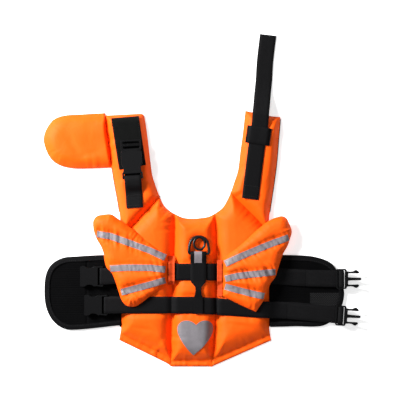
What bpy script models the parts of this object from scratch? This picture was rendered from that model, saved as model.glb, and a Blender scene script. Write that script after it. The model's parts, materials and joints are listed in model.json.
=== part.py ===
"""Dog life jacket, laid flat with its back up.

Metres, +Z up, the neck towards +Y, the jacket's underside on z = 0 and the origin under the
middle of the centre back panel. Every table below is in millimetres.
"""
import math

import bmesh
import bpy
import numpy as np
from mathutils import Vector
from mathutils.geometry import delaunay_2d_cdt

MM = 0.001

# ---------------------------------------------------------------- driving sizes, mm
SEAM = 0.2            # each panel stops this far short of its seam line, so a seam is 0.4 open
LINING = 1.0          # thickness of the black inner cloth, which lies on the table
PAD_FOOT = 1.3        # underside of the foam pads, above the lining
PAD_EDGE = 2.6        # cloth thickness where a pad is sewn flat
CENTRE_TOP = 14.5     # crown of the centre back pad
PAD_TOP = 13.0        # crown of the side and shoulder pads
ROUND = 14.0          # width over which a pad rounds down to its seam
HEM = 9.0             # flat folded hem along the rear edge
WING_T = 8.0          # foam of the side wings
WEB_W, WEB_T = 25.0, 1.5
SIT = 0.5             # air between a piece and what it lies on
PANEL_Z = (1.1, 3.7)  # belly panel, under and over
BIND_W, BIND_T = 8.0, 0.8
TAPE_T = 0.6          # reflective tape

# ---------------------------------------------------------------- outlines: x, y, corner?
SEAM_LEFT = [(-29.5, 118.3, 1), (-31.4, 45, 0), (-35.3, -50.6, 0), (-35.3, -111.5, 1)]
SEAM_RIGHT = [(31.5, 119.5, 1), (33.8, 45, 0), (30.8, -50.6, 0), (26.3, -111.5, 1)]
NECK_CENTRE = [(21.3, 114.5, 0), (9.8, 112.5, 0), (-5.6, 111.6, 0), (-17, 113, 0)]
NECK_LEFT = [(-38, 123.6, 0), (-45.8, 131, 0), (-52.7, 145, 1)]
NECK_RIGHT = [(54.6, 150.6, 1), (48, 137, 0), (42.3, 128, 0)]
DIAGONAL_LEFT = [(-52.7, 145, 1), (-91, 103, 0), (-111.8, 79.5, 1)]
DIAGONAL_RIGHT = [(54.6, 150.6, 1), (98.6, 106.7, 0), (113, 90, 1)]
SIDE_LEFT = [(-110.3, 30, 0), (-110.3, -33, 0), (-110.9, -54, 0), (-113.9, -71.4, 1)]
SIDE_RIGHT = [(112.5, 30, 0), (112.8, -41.6, 0), (113.3, -58, 0), (115.8, -72.2, 1)]

CENTRE_BACK = SEAM_LEFT + SEAM_RIGHT[::-1] + NECK_CENTRE
BACK_LEFT = SEAM_LEFT[::-1] + NECK_LEFT[:2] + DIAGONAL_LEFT + SIDE_LEFT + [(-41.9, -106.6, 0)]
BACK_RIGHT = SEAM_RIGHT + SIDE_RIGHT[::-1] + DIAGONAL_RIGHT[::-1] + NECK_RIGHT[1:]
STRAP_LEFT = DIAGONAL_LEFT[::-1] + [
    (-58.4, 161, 0), (-63.2, 176, 0), (-66.9, 203, 0), (-69.8, 228, 0), (-73.7, 256.5, 0),
    (-76.5, 270, 1), (-133.8, 267, 1), (-132, 245, 0), (-128, 218, 0), (-124.4, 187.5, 0),
    (-120.5, 163, 0), (-114.8, 132, 0), (-112, 108, 0)]
STRAP_RIGHT = DIAGONAL_RIGHT + [
    (112.5, 112, 0), (119.6, 162.5, 0), (123.6, 193, 0), (126.6, 229, 0),
    (129.6, 264.5, 1), (111.6, 266.4, 0), (86.4, 272, 0), (76.4, 274, 1), (72.5, 239, 0),
    (68.4, 209, 0), (65.4, 184.5, 0), (58.4, 162.5, 0)]
CHIN_FLAP = [
    (-134.6, 270.8, 1), (-170, 268.8, 0), (-199, 266.4, 0), (-214, 259.4, 0), (-223, 247, 0),
    (-227.6, 229.7, 0), (-220, 206.7, 0), (-208.5, 194.3, 0), (-193, 188.6, 0),
    (-174, 186.6, 0), (-125.4, 188, 1), (-129.2, 218, 0), (-133.2, 245, 0)]
WING_LEFT = [
    (-39.9, 56, 1), (-123.9, 118, 0), (-135.6, 118, 0), (-147, 115, 0), (-151.8, 108, 0),
    (-151.8, 97, 0), (-147, 81.5, 0), (-139.8, 69, 0), (-136, 58, 0), (-134.7, 48, 0),
    (-131.4, 38, 0), (-123.9, 30, 0), (-118.6, 18, 0), (-113.4, 1.5, 0), (-108, -12, 0),
    (-100.8, -19, 0), (-88, -19.7, 0), (-79.8, -15, 0), (-65, -3.8, 0), (-39.9, 12.6, 1)]
WING_RIGHT = [
    (42.2, 51.6, 1), (68.6, 73.7, 0), (98.3, 99, 0), (114.8, 110.6, 0), (131.3, 115.5, 0),
    (137.2, 113, 0), (146, 92.4, 0), (143.4, 81.5, 0), (140, 71.6, 0), (132.5, 58, 0),
    (128, 45, 0), (124.7, 35, 0), (121.5, 25, 0), (113.7, 14, 0), (109.4, 1, 0),
    (102.8, -12, 0), (91.7, -28.2, 1), (70.8, -18.8, 0), (51, -9, 0), (42.2, -4.5, 1)]
BELLY_LEFT = [
    (-111.9, 57, 1), (-136.7, 57, 0), (-160, 56, 0), (-177, 54.8, 0), (-197, 53, 0),
    (-211, 46.5, 0), (-219.5, 37.6, 0), (-224, 27, 0), (-225.9, 14.6, 0), (-226.2, -4.5, 0),
    (-224.4, -19, 0), (-220.5, -31, 0), (-213, -43, 0), (-203, -51.5, 0), (-190, -56, 0),
    (-158, -54.5, 0), (-125, -50.8, 0), (-111.9, -49.3, 1)]
BELLY_RIGHT = [
    (113.6, 57, 1), (132.6, 57, 0), (156.8, 56.4, 0), (176.6, 55, 0), (189.5, 52, 0),
    (201, 47.6, 0), (210.6, 40, 0), (217, 28.7, 0), (223, 13.3, 0), (225.6, 0, 0),
    (222.8, -17.4, 0), (215, -32, 0), (205, -44, 0), (194, -49.8, 0), (180, -51.5, 0),
    (156.8, -51, 0), (134.7, -51.5, 0), (113.9, -52, 1)]
HEART = [
    (2.4, -47.2, 1), (-2.6, -43, 0), (-11, -40.5, 0), (-19.6, -42.4, 0), (-25.3, -49.6, 0),
    (-25.4, -58, 0), (-21.2, -68, 0), (-12.6, -81, 0), (-1.7, -93.5, 1), (11.4, -81.4, 0),
    (22, -69.2, 0), (27.4, -58.6, 0), (27.8, -50, 0), (23.4, -43.2, 0), (15.4, -40.6, 0),
    (7.6, -42.8, 0)]
PATCH = [(-125, 262, 1), (-112.7, 185, 1), (-72.8, 192, 1), (-83.6, 266, 1)]

# reflective tapes on the wings: centre line x, y; all 10 mm wide
TAPE_W = 9.6
TAPES = {
    "tape_left_upper": [(-146, 88.8), (-125.5, 85.6), (-98.7, 76), (-67.6, 64.6), (-43.4, 53.4)],
    "tape_left_middle": [(-126, 37.2), (-98, 39), (-65, 38.5), (-43.4, 36)],
    "tape_left_lower": [(-109.5, 2), (-75.6, 11), (-43.4, 20)],
    "tape_right_upper": [(45.5, 44.6), (68.6, 55.5), (101, 69), (120, 76.5), (140.5, 83.6)],
    "tape_right_middle": [(45.5, 22.2), (65, 26.5), (98, 30.3), (121, 32)],
    "tape_right_lower": [(45.5, 10.4), (68, 4.4), (92.9, -1.7), (104, -3.9)],
}

# belts: x where the centre line is known, y there
UPPER_BELT = [(-140, 25.0), (-128, 25.4), (-100, 29.0), (-60, 31.5), (0, 32.0), (60, 31.0), (113, 26.0),
              (160, 22.5), (215, 21.2)]
LOWER_BELT = [(-134, -18.0), (-100, -17.7), (0, -17.7), (52, -21.0), (113, -25.4),
              (160, -27.5), (215, -33.6)]

# buckle body, half of the plan: distance from its mouth, half width
SOCKET_HALF = [(0.0, 14.4), (2.0, 15.4), (6.8, 15.4), (8.8, 13.8), (11.0, 12.7), (14.5, 12.4),
               (17.5, 12.9), (19.6, 14.4), (20.8, 15.2), (24.5, 14.6)]
NECK_SOCKET_HALF = [(0.0, 14.2), (2.0, 15.3), (20.0, 15.6), (22.0, 14.0), (24.4, 12.8),
                    (28.6, 12.7), (31.2, 13.8), (32.8, 15.2)]     # its waist is further along
SOCKET_TAIL = [(-5.5, 15.2), (-0.8, 15.4), (0.0, 14.2)]     # distance from its far end
BUCKLE_H = 9.0
PRONG_H = 4.4
# the other half: distance from its webbing end, half width
PRONG_HALF = [(0.0, 13.6), (1.4, 15.0), (14.0, 15.0), (15.4, 13.6), (15.5, 11.6), (20.5, 11.0),
              (25.0, 11.4), (28.0, 13.2), (30.5, 13.4), (33.4, 11.2), (34.2, 9.4), (33.0, 8.2),
              (27.5, 8.4), (21.5, 8.6), (17.5, 8.3), (17.5, 2.6), (22.0, 2.2), (36.2, 1.8),
              (37.2, 1.0)]

bpy.ops.object.select_all(action="DESELECT")
for old in list(bpy.data.objects):
    bpy.data.objects.remove(old, do_unlink=True)

# ---------------------------------------------------------------- materials
FINISHES = {                       # base colour, roughness, metallic
    "orange_nylon": ((0.93, 0.16, 0.012), 0.55, 0.0),
    "black_lining": ((0.012, 0.012, 0.013), 0.80, 0.0),
    "black_mesh": ((0.010, 0.010, 0.011), 0.85, 0.0),
    "black_binding": ((0.016, 0.016, 0.017), 0.70, 0.0),
    "black_webbing": ((0.014, 0.014, 0.016), 0.60, 0.0),
    "hook_and_loop": ((0.011, 0.012, 0.011), 0.95, 0.0),
    "reflective_tape": ((0.36, 0.35, 0.38), 0.35, 0.3),
    "black_plastic": ((0.018, 0.018, 0.020), 0.35, 0.0),
    "black_coated_steel": ((0.020, 0.020, 0.022), 0.30, 0.0),
}


def material(slot):
    made = bpy.data.materials.get(slot)
    if made is None:
        made = bpy.data.materials.new(slot)
        made.use_nodes = True
        shader = made.node_tree.nodes["Principled BSDF"]
        colour, rough, metal = FINISHES[slot]
        shader.inputs["Base Color"].default_value = (*colour, 1.0)
        shader.inputs["Roughness"].default_value = rough
        shader.inputs["Metallic"].default_value = metal
    return made


# ---------------------------------------------------------------- plane geometry, mm
def smooth(rows, step=10.5):
    """Closed outline through rows (x, y, corner), curved except at its corners, anticlockwise."""
    n, out = len(rows), []
    for i in range(n):
        p0, p1, p2, p3 = (rows[(i + k) % n] for k in (-1, 0, 1, 2))
        a, b = Vector(p1[:2]), Vector(p2[:2])
        run = (b - a).length
        go = (b - a) if p1[2] else (b - Vector(p0[:2]))
        come = (b - a) if p2[2] else (Vector(p3[:2]) - a)
        go, come = go.normalized() * run, come.normalized() * run
        for k in range(max(1, round(run / step))):
            t = k / max(1, round(run / step))
            out.append(a * (2 * t**3 - 3 * t**2 + 1) + go * (t**3 - 2 * t**2 + t)
                       + b * (-2 * t**3 + 3 * t**2) + come * (t**3 - t**2))
    area = sum(p.x * q.y - q.x * p.y for p, q in zip(out, out[1:] + out[:1]))
    return out if area > 0 else out[::-1]


def inset(loop, by):
    """The anticlockwise loop moved inwards, corners mitred."""
    out = []
    for before, here, after in zip(loop[-1:] + loop[:-1], loop, loop[1:] + loop[:1]):
        a, b = (here - before).normalized(), (after - here).normalized()
        na, nb = Vector((-a.y, a.x)), Vector((-b.y, b.x))
        out.append(here + (na + nb) * (by / max(0.35, 1 + na.dot(nb))))
    return out


def distances(points, loop):
    """Distance from each point to each side of the loop."""
    p = np.array([tuple(v) for v in points]).reshape(-1, 1, 2)
    a = np.array([tuple(v) for v in loop]).reshape(1, -1, 2)
    b = np.roll(a, -1, axis=1)
    t = ((p - a) * (b - a)).sum(2) / np.maximum(1e-9, ((b - a) ** 2).sum(2))
    near = a + (b - a) * np.clip(t, 0, 1)[..., None]
    return np.hypot(*(p - near).transpose(2, 0, 1))


def inside(points, loop):
    p = np.array([tuple(v) for v in points]).reshape(-1, 1, 2)
    a = np.array([tuple(v) for v in loop]).reshape(1, -1, 2)
    b = np.roll(a, -1, axis=1)
    above = (a[..., 1] > p[..., 1]) != (b[..., 1] > p[..., 1])
    rise = np.where(b[..., 1] == a[..., 1], 1e-9, b[..., 1] - a[..., 1])
    cross = (b[..., 0] - a[..., 0]) * (p[..., 1] - a[..., 1]) / rise + a[..., 0]
    return ((above & (p[..., 0] < cross)).sum(1) % 2) == 1


def along(rows, x):
    """Value of a table (x, value) at x."""
    xs, ys = zip(*rows)
    return float(np.interp(x, xs, ys))


# ---------------------------------------------------------------- solids
def finish(name, slot, verts, faces):
    mesh = bpy.data.meshes.new(name)
    mesh.from_pydata([(x * MM, y * MM, z * MM) for x, y, z in verts], [], faces)
    form = bmesh.new()
    form.from_mesh(mesh)
    bmesh.ops.triangulate(form, faces=[f for f in form.faces if len(f.verts) > 4])
    bmesh.ops.recalc_face_normals(form, faces=form.faces)
    form.to_mesh(mesh)
    form.free()
    body = bpy.data.objects.new(name, mesh)
    bpy.context.scene.collection.objects.link(body)
    mesh.materials.append(material(slot))
    return body


def fill(loop, points=(), holes=()):
    """Triangles over the loop, through the extra points, leaving the holes open."""
    verts, edges = [], []
    for ring in [loop, *holes]:
        start = len(verts)
        verts += [Vector(tuple(v)) for v in ring]
        edges += [(start + i, start + (i + 1) % len(ring)) for i in range(len(ring))]
    verts += [Vector(tuple(v)) for v in points]
    xy, _, tris, *_ = delaunay_2d_cdt(verts, edges, [], 0, 1e-5)
    mids = [sum((xy[i] for i in t), Vector((0, 0))) / 3 for t in tris]
    keep = inside(mids, loop)
    for hole in holes:
        keep &= ~inside(mids, hole)
    return xy, [t for t, k in zip(tris, keep) if k]


def sheet(name, slot, loop, top, bottom, points=(), holes=(), flat=False, place=None):
    """A closed body over the loop, from bottom(x, y) up to top(x, y)."""
    xy, tris = fill(loop, points, holes)
    verts, faces, index = [], [], {}

    def vert(p, z, level):
        key = (round(p.x, 4), round(p.y, 4), level)
        if key not in index:
            index[key] = len(verts)
            verts.append((p.x, p.y, z(p.x, p.y)))
        return index[key]

    count = {}
    for t in tris:
        faces.append([vert(xy[i], top, 1) for i in t])
        for i in range(3):
            edge = tuple(sorted((t[i], t[(i + 1) % 3])))
            count[edge] = count.get(edge, 0) + 1
    under = fill(loop, (), holes) if flat else (xy, tris)
    for t in under[1]:
        faces.append([vert(under[0][i], bottom, 0) for i in t][::-1])
    for (i, j), uses in count.items():
        if uses == 1:
            faces.append([vert(xy[i], bottom, 0), vert(xy[j], bottom, 0),
                          vert(xy[j], top, 1), vert(xy[i], top, 1)])
    if place:
        verts = placed(verts, place)
    return finish(name, slot, verts, faces)


def placed(verts, place):
    """Points turned about Z by place[3] degrees and moved to place[:3]."""
    x, y, z, turn = place
    c, s = math.cos(math.radians(turn)), math.sin(math.radians(turn))
    return [(x + c * u - s * v, y + s * u + c * v, z + w) for u, v, w in verts]


def prism(name, slot, loop, z0, z1, holes=(), place=None):
    loop = [Vector(p) for p in loop]
    holes = [[Vector(p) for p in hole] for hole in holes]
    return sheet(name, slot, loop, lambda x, y: z1, lambda x, y: z0, (), holes, False, place)


def rectangle(x0, x1, y0, y1):
    return [(x0, y0), (x1, y0), (x1, y1), (x0, y1)]


def carve(body, cutters, mode="DIFFERENCE"):
    for cutter in cutters:
        cutter.hide_render = True
        cutter.display_type = "WIRE"
        step = body.modifiers.new("cut", "BOOLEAN")
        step.operation, step.solver, step.object = mode, "EXACT", cutter
    graph = bpy.context.evaluated_depsgraph_get()
    mesh = bpy.data.meshes.new_from_object(body.evaluated_get(graph))
    body.modifiers.clear()
    body.data = mesh
    for cutter in cutters:
        bpy.data.objects.remove(cutter, do_unlink=True)
    return body


def ribbon(name, slot, rows, width, thick=WEB_T, across=None):
    """Webbing along rows (x, y, z) of its middle; width is one number or one per row."""
    pts = [Vector(r) for r in rows]
    widths = width if isinstance(width, (list, tuple)) else [width] * len(pts)
    verts, faces = [], []
    for i, p in enumerate(pts):
        back = (p - pts[i - 1]).normalized() if i else None
        ahead = (pts[i + 1] - p).normalized() if i + 1 < len(pts) else None
        run = ((back or ahead) + (ahead or back)).normalized()
        side = Vector((-run.y, run.x, 0)).normalized()
        if across:
            side = Vector(across[i] if isinstance(across, list) else across)
        up = run.cross(side).normalized()
        stretch = 1 / max(0.5, run.dot(back or ahead))
        for u, v in ((-1, -1), (1, -1), (1, 1), (-1, 1)):
            verts.append(p + side * (u * widths[i] / 2) + up * (v * thick / 2 * stretch))
        if i:
            a = 4 * (i - 1)
            faces += [[a + k, a + (k + 1) % 4, a + 4 + (k + 1) % 4, a + 4 + k] for k in range(4)]
    faces += [[0, 3, 2, 1], [len(verts) - 4 + k for k in range(4)]]
    return finish(name, slot, [tuple(v) for v in verts], faces)


def tube(name, slot, rows, radius, sides=8, closed=True):
    """A round bar along rows (x, y, z) that lie in a plane tilted about the X axis."""
    pts = [Vector(r) for r in rows]
    n = len(pts)
    radii = radius if isinstance(radius, list) else [radius] * n
    flat = (pts[1] - pts[0]).cross(pts[n // 2] - pts[0]).normalized()
    verts, faces = [], []
    for i, p in enumerate(pts):
        run = (pts[(i + 1) % n] - pts[i - 1]).normalized()
        out = run.cross(flat).normalized()
        for k in range(sides):
            a = 2 * math.pi * (k + 0.5) / sides
            verts.append(p + (out * math.cos(a) + flat * math.sin(a)) * radii[i])
    for i in range(n):
        a, b = i * sides, ((i + 1) % n) * sides
        faces += [[a + k, a + (k + 1) % sides, b + (k + 1) % sides, b + k] for k in range(sides)]
    return finish(name, slot, [tuple(v) for v in verts], faces)


# ---------------------------------------------------------------- padded panels
LEVELS = (0.0, 2.4, 6.6, 14.0)


class Pad:
    """A foam pad sewn flat round its edge: its outline, and its height at any point."""

    def __init__(self, rows, foot, edge, crown, margin=1.5, hem=None, rounding=ROUND):
        self.loop = inset(smooth(rows), SEAM)
        self.foot, self.edge, self.crown, self.rounding = foot, edge, crown, rounding
        mids = [(a + b) / 2 for a, b in zip(self.loop, self.loop[1:] + self.loop[:1])]
        self.margins = np.array([HEM if hem and hem(m) else margin for m in mids])

    def depth(self, points):
        return (distances(points, self.loop) - self.margins).min(1)

    def heights(self, points):
        s = np.clip(self.depth(points) / self.rounding, 0, 1)
        return self.foot + self.edge + (self.crown - self.foot - self.edge) * (1 - (1 - s) ** 2.4)

    def top(self, x, y):
        return float(self.heights([(x, y)])[0])

    def points(self, pitch=15.0):
        """Rings of points where the pad rounds down, and a few over its crown."""
        found = []
        loop = self.loop
        scale = self.rounding / 14.0
        for level in (v * scale for v in LEVELS):
            ring = []
            for i, here in enumerate(loop):
                run = (loop[(i + 1) % len(loop)] - loop[i - 1]).normalized()
                margin = (self.margins[i] + self.margins[i - 1]) / 2
                ring.append(here + Vector((-run.y, run.x)) * (margin + level))
            ring = [p for p, ok, d in zip(ring, inside(ring, loop), self.depth(ring))
                    if ok and abs(d - level) < 0.5]
            for p in ring:
                if all((p - q).length > 1.6 for q in found):
                    found.append(p)
        xs, ys = [p.x for p in loop], [p.y for p in loop]
        grid = []
        row = 0
        y = min(ys)
        while y < max(ys):
            x = min(xs) + (row % 2) * pitch / 2
            while x < max(xs):
                grid.append(Vector((x, y)))
                x += pitch
            y += pitch * 0.866
            row += 1
        deep = self.depth(grid) > self.rounding * 1.25
        found += [p for p, a, b in zip(grid, inside(grid, loop), deep) if a and b]
        return found

    def build(self, name, slot="orange_nylon"):
        foot = self.foot
        return sheet(name, slot, self.loop, self.top, lambda x, y: foot, self.points(), flat=True)


HEM_LINE = [Vector(p) for p in ((-113.9, -71.4), (-41.9, -106.6), (-35.3, -111.5),
                                (26.3, -111.5), (115.8, -72.2))]


def on_hem(p):
    return distances([p], HEM_LINE)[0][:-1].min() < 2.5


PADS = {
    "back_centre": Pad(CENTRE_BACK, PAD_FOOT, PAD_EDGE, CENTRE_TOP, hem=on_hem),
    "back_left": Pad(BACK_LEFT, PAD_FOOT, PAD_EDGE, PAD_TOP, hem=on_hem),
    "back_right": Pad(BACK_RIGHT, PAD_FOOT, PAD_EDGE, PAD_TOP, hem=on_hem),
    "strap_left": Pad(STRAP_LEFT, PAD_FOOT, PAD_EDGE, PAD_TOP),
    "strap_right": Pad(STRAP_RIGHT, PAD_FOOT, PAD_EDGE, PAD_TOP),
}
for pad_name, pad in PADS.items():
    pad.build(pad_name)
Pad(CHIN_FLAP, 0.0, 3.0, 11.0, margin=1.0).build("chin_flap")


def ground(x, y, reach=0.0, half=0.0):
    """Highest pad surface near a point: within reach along X and half along Y."""
    spots = [(x + u, y + v) for u in {-reach, -reach / 2, 0, reach / 2, reach}
             for v in {-half, -half / 2, 0, half / 2, half}]
    best = 0.0
    for pad in PADS.values():
        ok = inside(spots, pad.loop)
        if ok.any():
            best = max(best, float(pad.heights([s for s, k in zip(spots, ok) if k]).max()))
    return best


# ---------------------------------------------------------------- lining under the pads
def lining(name, *outlines, shrink=0.6):
    loop = inset(smooth(outlines[0]), shrink)
    return prism(name, "black_lining", [tuple(p) for p in loop], 0.0, LINING)


BACK_LINING = ([(-52.7, 145, 1)] + DIAGONAL_LEFT[1:] + SIDE_LEFT
               + [(-41.9, -106.6, 0), (-31.5, -111.5, 1), (25.8, -111.5, 1)]
               + SIDE_RIGHT[::-1] + [(113, 90, 1), (98.6, 106.7, 0)] + NECK_RIGHT
               + NECK_CENTRE + [(-28.5, 118, 0)] + NECK_LEFT[:2])
lining("lining_back", BACK_LINING)
lining("lining_strap_left", STRAP_LEFT, shrink=-0.6)
lining("lining_strap_right", STRAP_RIGHT, shrink=-0.6)


# ---------------------------------------------------------------- belly panels and bindings
def belly(name, rows):
    """A flat ribbed panel and the binding folded round its three outer edges."""
    loop = inset(smooth(rows, 11.0), 0.1)
    inner_x = rows[0][0]
    # the panel stops inside the fold of its binding
    core = []
    for p, q in zip(loop, inset(loop, BIND_T + 0.3)):
        core.append(Vector((p.x if abs(p.x - inner_x) < 1.0 else q.x, q.y)))
    prism(name, "black_mesh", [tuple(p) for p in core], *PANEL_Z)
    # the outline's run from one end of the body side round to the other
    start, end = (min(range(len(loop)), key=lambda i: (loop[i] - Vector(row[:2])).length)
                  for row in (rows[0], rows[-1]))
    ring = loop[start:] + loop[:start]
    stop = (end - start) % len(loop)
    run = ring[:stop + 1]
    if max(abs(p.x - inner_x) for p in run) < 5:
        run = ring[stop:] + ring[:1]
    side = 1.0 if sum(p.x * q.y - q.x * p.y for p, q in zip(run, run[1:] + run[:1])) > 0 else -1.0
    low, high = PANEL_Z[0] - 0.3, PANEL_Z[1] + 0.3
    fold = [(0, 0), (BIND_W, 0), (BIND_W, low), (BIND_T, low), (BIND_T, high), (BIND_W, high),
            (BIND_W, high + BIND_T), (0, high + BIND_T)]
    verts, faces = [], []
    for i, p in enumerate(run):
        ahead = run[min(i + 1, len(run) - 1)] - run[max(i - 1, 0)]
        ahead.normalize()
        inward = Vector((-ahead.y, ahead.x)) * side
        if i in (0, len(run) - 1):      # the ends lie square to the jacket's side
            inward = Vector((0, math.copysign(1, inward.y)))
        verts += [(p.x + inward.x * n, p.y + inward.y * n, z) for n, z in fold]
        if i:
            a, b, m = (i - 1) * 8, i * 8, 8
            faces += [[a + k, a + (k + 1) % m, b + (k + 1) % m, b + k] for k in range(m)]
    caps = [(0, 1, 2, 3), (0, 3, 4, 7), (4, 5, 6, 7)]
    last = len(verts) - 8
    faces += [[k for k in cap] for cap in caps] + [[last + k for k in cap] for cap in caps]
    finish(name.replace("panel", "binding"), "black_binding", verts, faces)


belly("belly_panel_left", BELLY_LEFT)
belly("belly_panel_right", BELLY_RIGHT)


# ---------------------------------------------------------------- buckles
def buckle_socket(name, length, place, outline=SOCKET_HALF):
    """The half with the socket: its mouth at local x = 0, its webbing bar at the far end."""
    half = outline + [(length + u, w) for u, w in SOCKET_TAIL]
    plan = [(x, -w) for x, w in half] + [(x, w) for x, w in half[::-1]]
    slot = rectangle(length - 8.0, length - 3.6, -12.9, 12.9)
    body = prism(name, "black_plastic", plan, 0.0, BUCKLE_H, [slot])
    hollow = [(-4, -12.3), (9.4, -12.3), (9.4, -20), (18.2, -20), (18.2, -12.3), (22.5, -12.3),
              (22.5, 12.3), (18.2, 12.3), (18.2, 20), (9.4, 20), (9.4, 12.3), (-4, 12.3)]
    bar = rectangle(length - 6.0, length + 5, -12.9, 12.9)
    carve(body, [prism("cut_socket", "black_plastic", hollow, 1.9, 7.1),
                 prism("cut_over", "black_plastic", bar, 6.6, 20.0),
                 prism("cut_under", "black_plastic", bar, -10.0, 2.4)])
    for v in body.data.vertices:
        v.co = Vector(placed([v.co / MM], place)[0]) * MM
    return body


def buckle_prongs(name, place):
    """The half with the prongs: its webbing end at local x = 0, the prongs ahead of it."""
    plan = [(x, -w) for x, w in PRONG_HALF] + [(x, w) for x, w in PRONG_HALF[::-1]]
    slots = [rectangle(2.2, 5.6, -12.9, 12.9), rectangle(9.0, 12.6, -12.9, 12.9)]
    return prism(name, "black_plastic", plan, 0.0, PRONG_H, slots, place)


FEMALE_Z = 4.8                    # buckle bodies lie on the binding's height
MALE_Z = 9.0                      # raised on the doubled webbing under its bars
buckle_socket("buckle_socket_upper", 34.5, (-171.3, along(UPPER_BELT, -138.6), FEMALE_Z, 0.0))
buckle_socket("buckle_socket_lower", 34.5, (-165.0, along(LOWER_BELT, -132.3), FEMALE_Z, 0.0))
buckle_prongs("buckle_prongs_upper", (212.7, 21.2, MALE_Z, 0.0))
buckle_prongs("buckle_prongs_lower", (211.6, -33.2, MALE_Z, -4.0))

STRAP_TOP = PAD_TOP + SIT         # what lies on a shoulder pad starts here
NECK_BUCKLE_Z = STRAP_TOP + 1.8
NECK_TURN = -86.4                 # from the top of the strap down towards the body
NECK_AT = (-95.6, 229.0)
c, s = math.cos(math.radians(NECK_TURN)), math.sin(math.radians(NECK_TURN))
buckle_prongs("neck_buckle_prongs", (*NECK_AT, NECK_BUCKLE_Z + 2.3, NECK_TURN))
buckle_socket("neck_buckle_socket", 42.0,
              (NECK_AT[0] + 16.2 * c, NECK_AT[1] + 16.2 * s, NECK_BUCKLE_Z, NECK_TURN),
              NECK_SOCKET_HALF)


# ---------------------------------------------------------------- belts
def belt_row(table, x, lift=0.0):
    """Middle of a belt lying on the back, at x: it dips at the seams but stays taut."""
    y = along(table, x)
    low = ground(x, y, 5.0, WEB_W / 2)
    taut = along([(-104, 12.6), (-44, 13.0), (-31.5, 9.0), (-18, 12.0), (18, 12.0),
                  (32.5, 9.0), (46, 13.0), (104, 12.6)], x)
    return (x, y, max(low, taut) + SIT + WEB_T / 2 + lift)


# webbing round a socket's bar: offset from the bar's middle along the buckle, and up
BAR_TURN = [(1.6, 3.15), (-1.9, 3.15), (-2.75, 2.65), (-3.0, 1.85), (-3.0, -1.85),
            (-2.75, -2.65), (-1.9, -3.15), (1.6, -3.15)]


def loop_back(table, bar_x, bar_z):
    """Webbing folded round a socket's bar: over it, down its slot and back under it."""
    y = along(table, bar_x)
    return [(bar_x + u, y, bar_z + w) for u, w in BAR_TURN]


def belt(name, table, bar_x, male, tail_x):
    """One belt: sewn loop round its socket's bar, over the back, to the prongs and back."""
    bar_z = FEMALE_Z + 4.5
    top = bar_z + 2.4 + WEB_T / 2
    rows = [(-114.4, along(table, -114.4), 8.6), (-120, along(table, -120), 7.3),
            (-127, along(table, -127), bar_z - 3.15)]
    rows += loop_back(table, bar_x, bar_z)[::-1]
    for x in (-124, -116, -110, -104):
        rows.append((x, along(table, x), max(top + (x + 134) * 0.05, 0)))
    xs = [-98, -90, -76, -62, -52, -46, -42, -38, -34.5, -31.5, -28, -25, -21, -17, -12, 0,
          12, 17, 21, 25, 29, 32.5, 36, 40, 44, 48, 54, 64, 76, 90, 97]
    rows += [belt_row(table, x) for x in xs]
    rows += [belt_row(table, 103)]
    end, end_y, turn = male
    c, s = math.cos(math.radians(turn)), math.sin(math.radians(turn))
    lie = PANEL_Z[1] + 1.1 + SIT + WEB_T / 2
    for x, z in ((108, 12.9), (113, 11.0), (118, 8.6), (124, 6.9), (131, lie), (160, lie),
                 (190, lie), (end - 6, lie)):
        rows.append((x, along(table, x), z))
    # through the two slots and back over itself
    over = MALE_Z + PRONG_H + 0.3 + WEB_T / 2
    under = MALE_Z - 0.3 - WEB_T / 2
    level = len(rows)
    for u, z in ((6.0, lie), (9.6, lie + 0.4), (10.8, lie + 1.6), (10.8, over - 1.0),
                 (9.9, over), (4.9, over), (3.9, over - 1.0), (3.9, under + 0.9),
                 (3.1, under)):
        rows.append((end + c * u, end_y + s * u, z))
    square = len(rows)
    rows.append((end - 8, along(table, end - 8), under))
    back = lie + WEB_T + 0.4
    rows.append((end - 14, along(table, end - 14), back))
    rows.append((tail_x, along(table, tail_x), back))
    across = [(-s, c, 0) if level <= i < square else (0, 1, 0) for i in range(len(rows))]
    ribbon(name, "black_webbing", rows, WEB_W, across=across)


belt("belt_upper", UPPER_BELT, -138.6, (212.7, 21.2, 0.0), 168.0)
belt("belt_lower", LOWER_BELT, -132.3, (211.6, -33.2, -4.0), 140.0)


# ---------------------------------------------------------------- wings over the belts
BELT_TOP = PAD_TOP + SIT + WEB_T


def wing_floor(x, y):
    """Underside of a wing: on the side pad, ridged over each belt, drooping past the side."""
    z = PAD_TOP + SIT
    for table in (UPPER_BELT, LOWER_BELT):
        off = abs(y - along(table, x)) - WEB_W / 2 - 1.2
        z = max(z, BELT_TOP + SIT - max(0.0, off) * 0.22)
    return z - max(0.0, abs(x) - 106.0) * 0.05


def belt_creases(loop, ramp=9.6):
    """Points along the belts' edges, so a wing bends there."""
    found = []
    for table in (UPPER_BELT, LOWER_BELT):
        for side in (-1, 1):
            for off in (WEB_W / 2 + 1.2, WEB_W / 2 + 1.2 + ramp):
                for x in range(-150, 151, 10):
                    found.append(Vector((x, along(table, x) + side * off)))
    near = distances(found, loop).min(1) > 2.5
    return [p for p, a, b in zip(found, inside(found, loop), near) if a and b]


class Wing(Pad):
    """A pad whose underside follows what it lies on."""

    def top(self, x, y):
        return float(self.heights([(x, y)])[0]) + wing_floor(x, y)


def wing(side, rows):
    pad = Wing(rows, 0.0, 2.6, WING_T, margin=1.0, rounding=9.0)
    points = pad.points(12.0)
    for p in belt_creases(pad.loop):
        if all((p - q).length > 2.0 for q in points):
            points.append(p)
    sheet("wing_" + side, "orange_nylon", pad.loop, pad.top, wing_floor, points)
    return pad


WINGS = {"left": wing("left", WING_LEFT), "right": wing("right", WING_RIGHT)}


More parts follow.
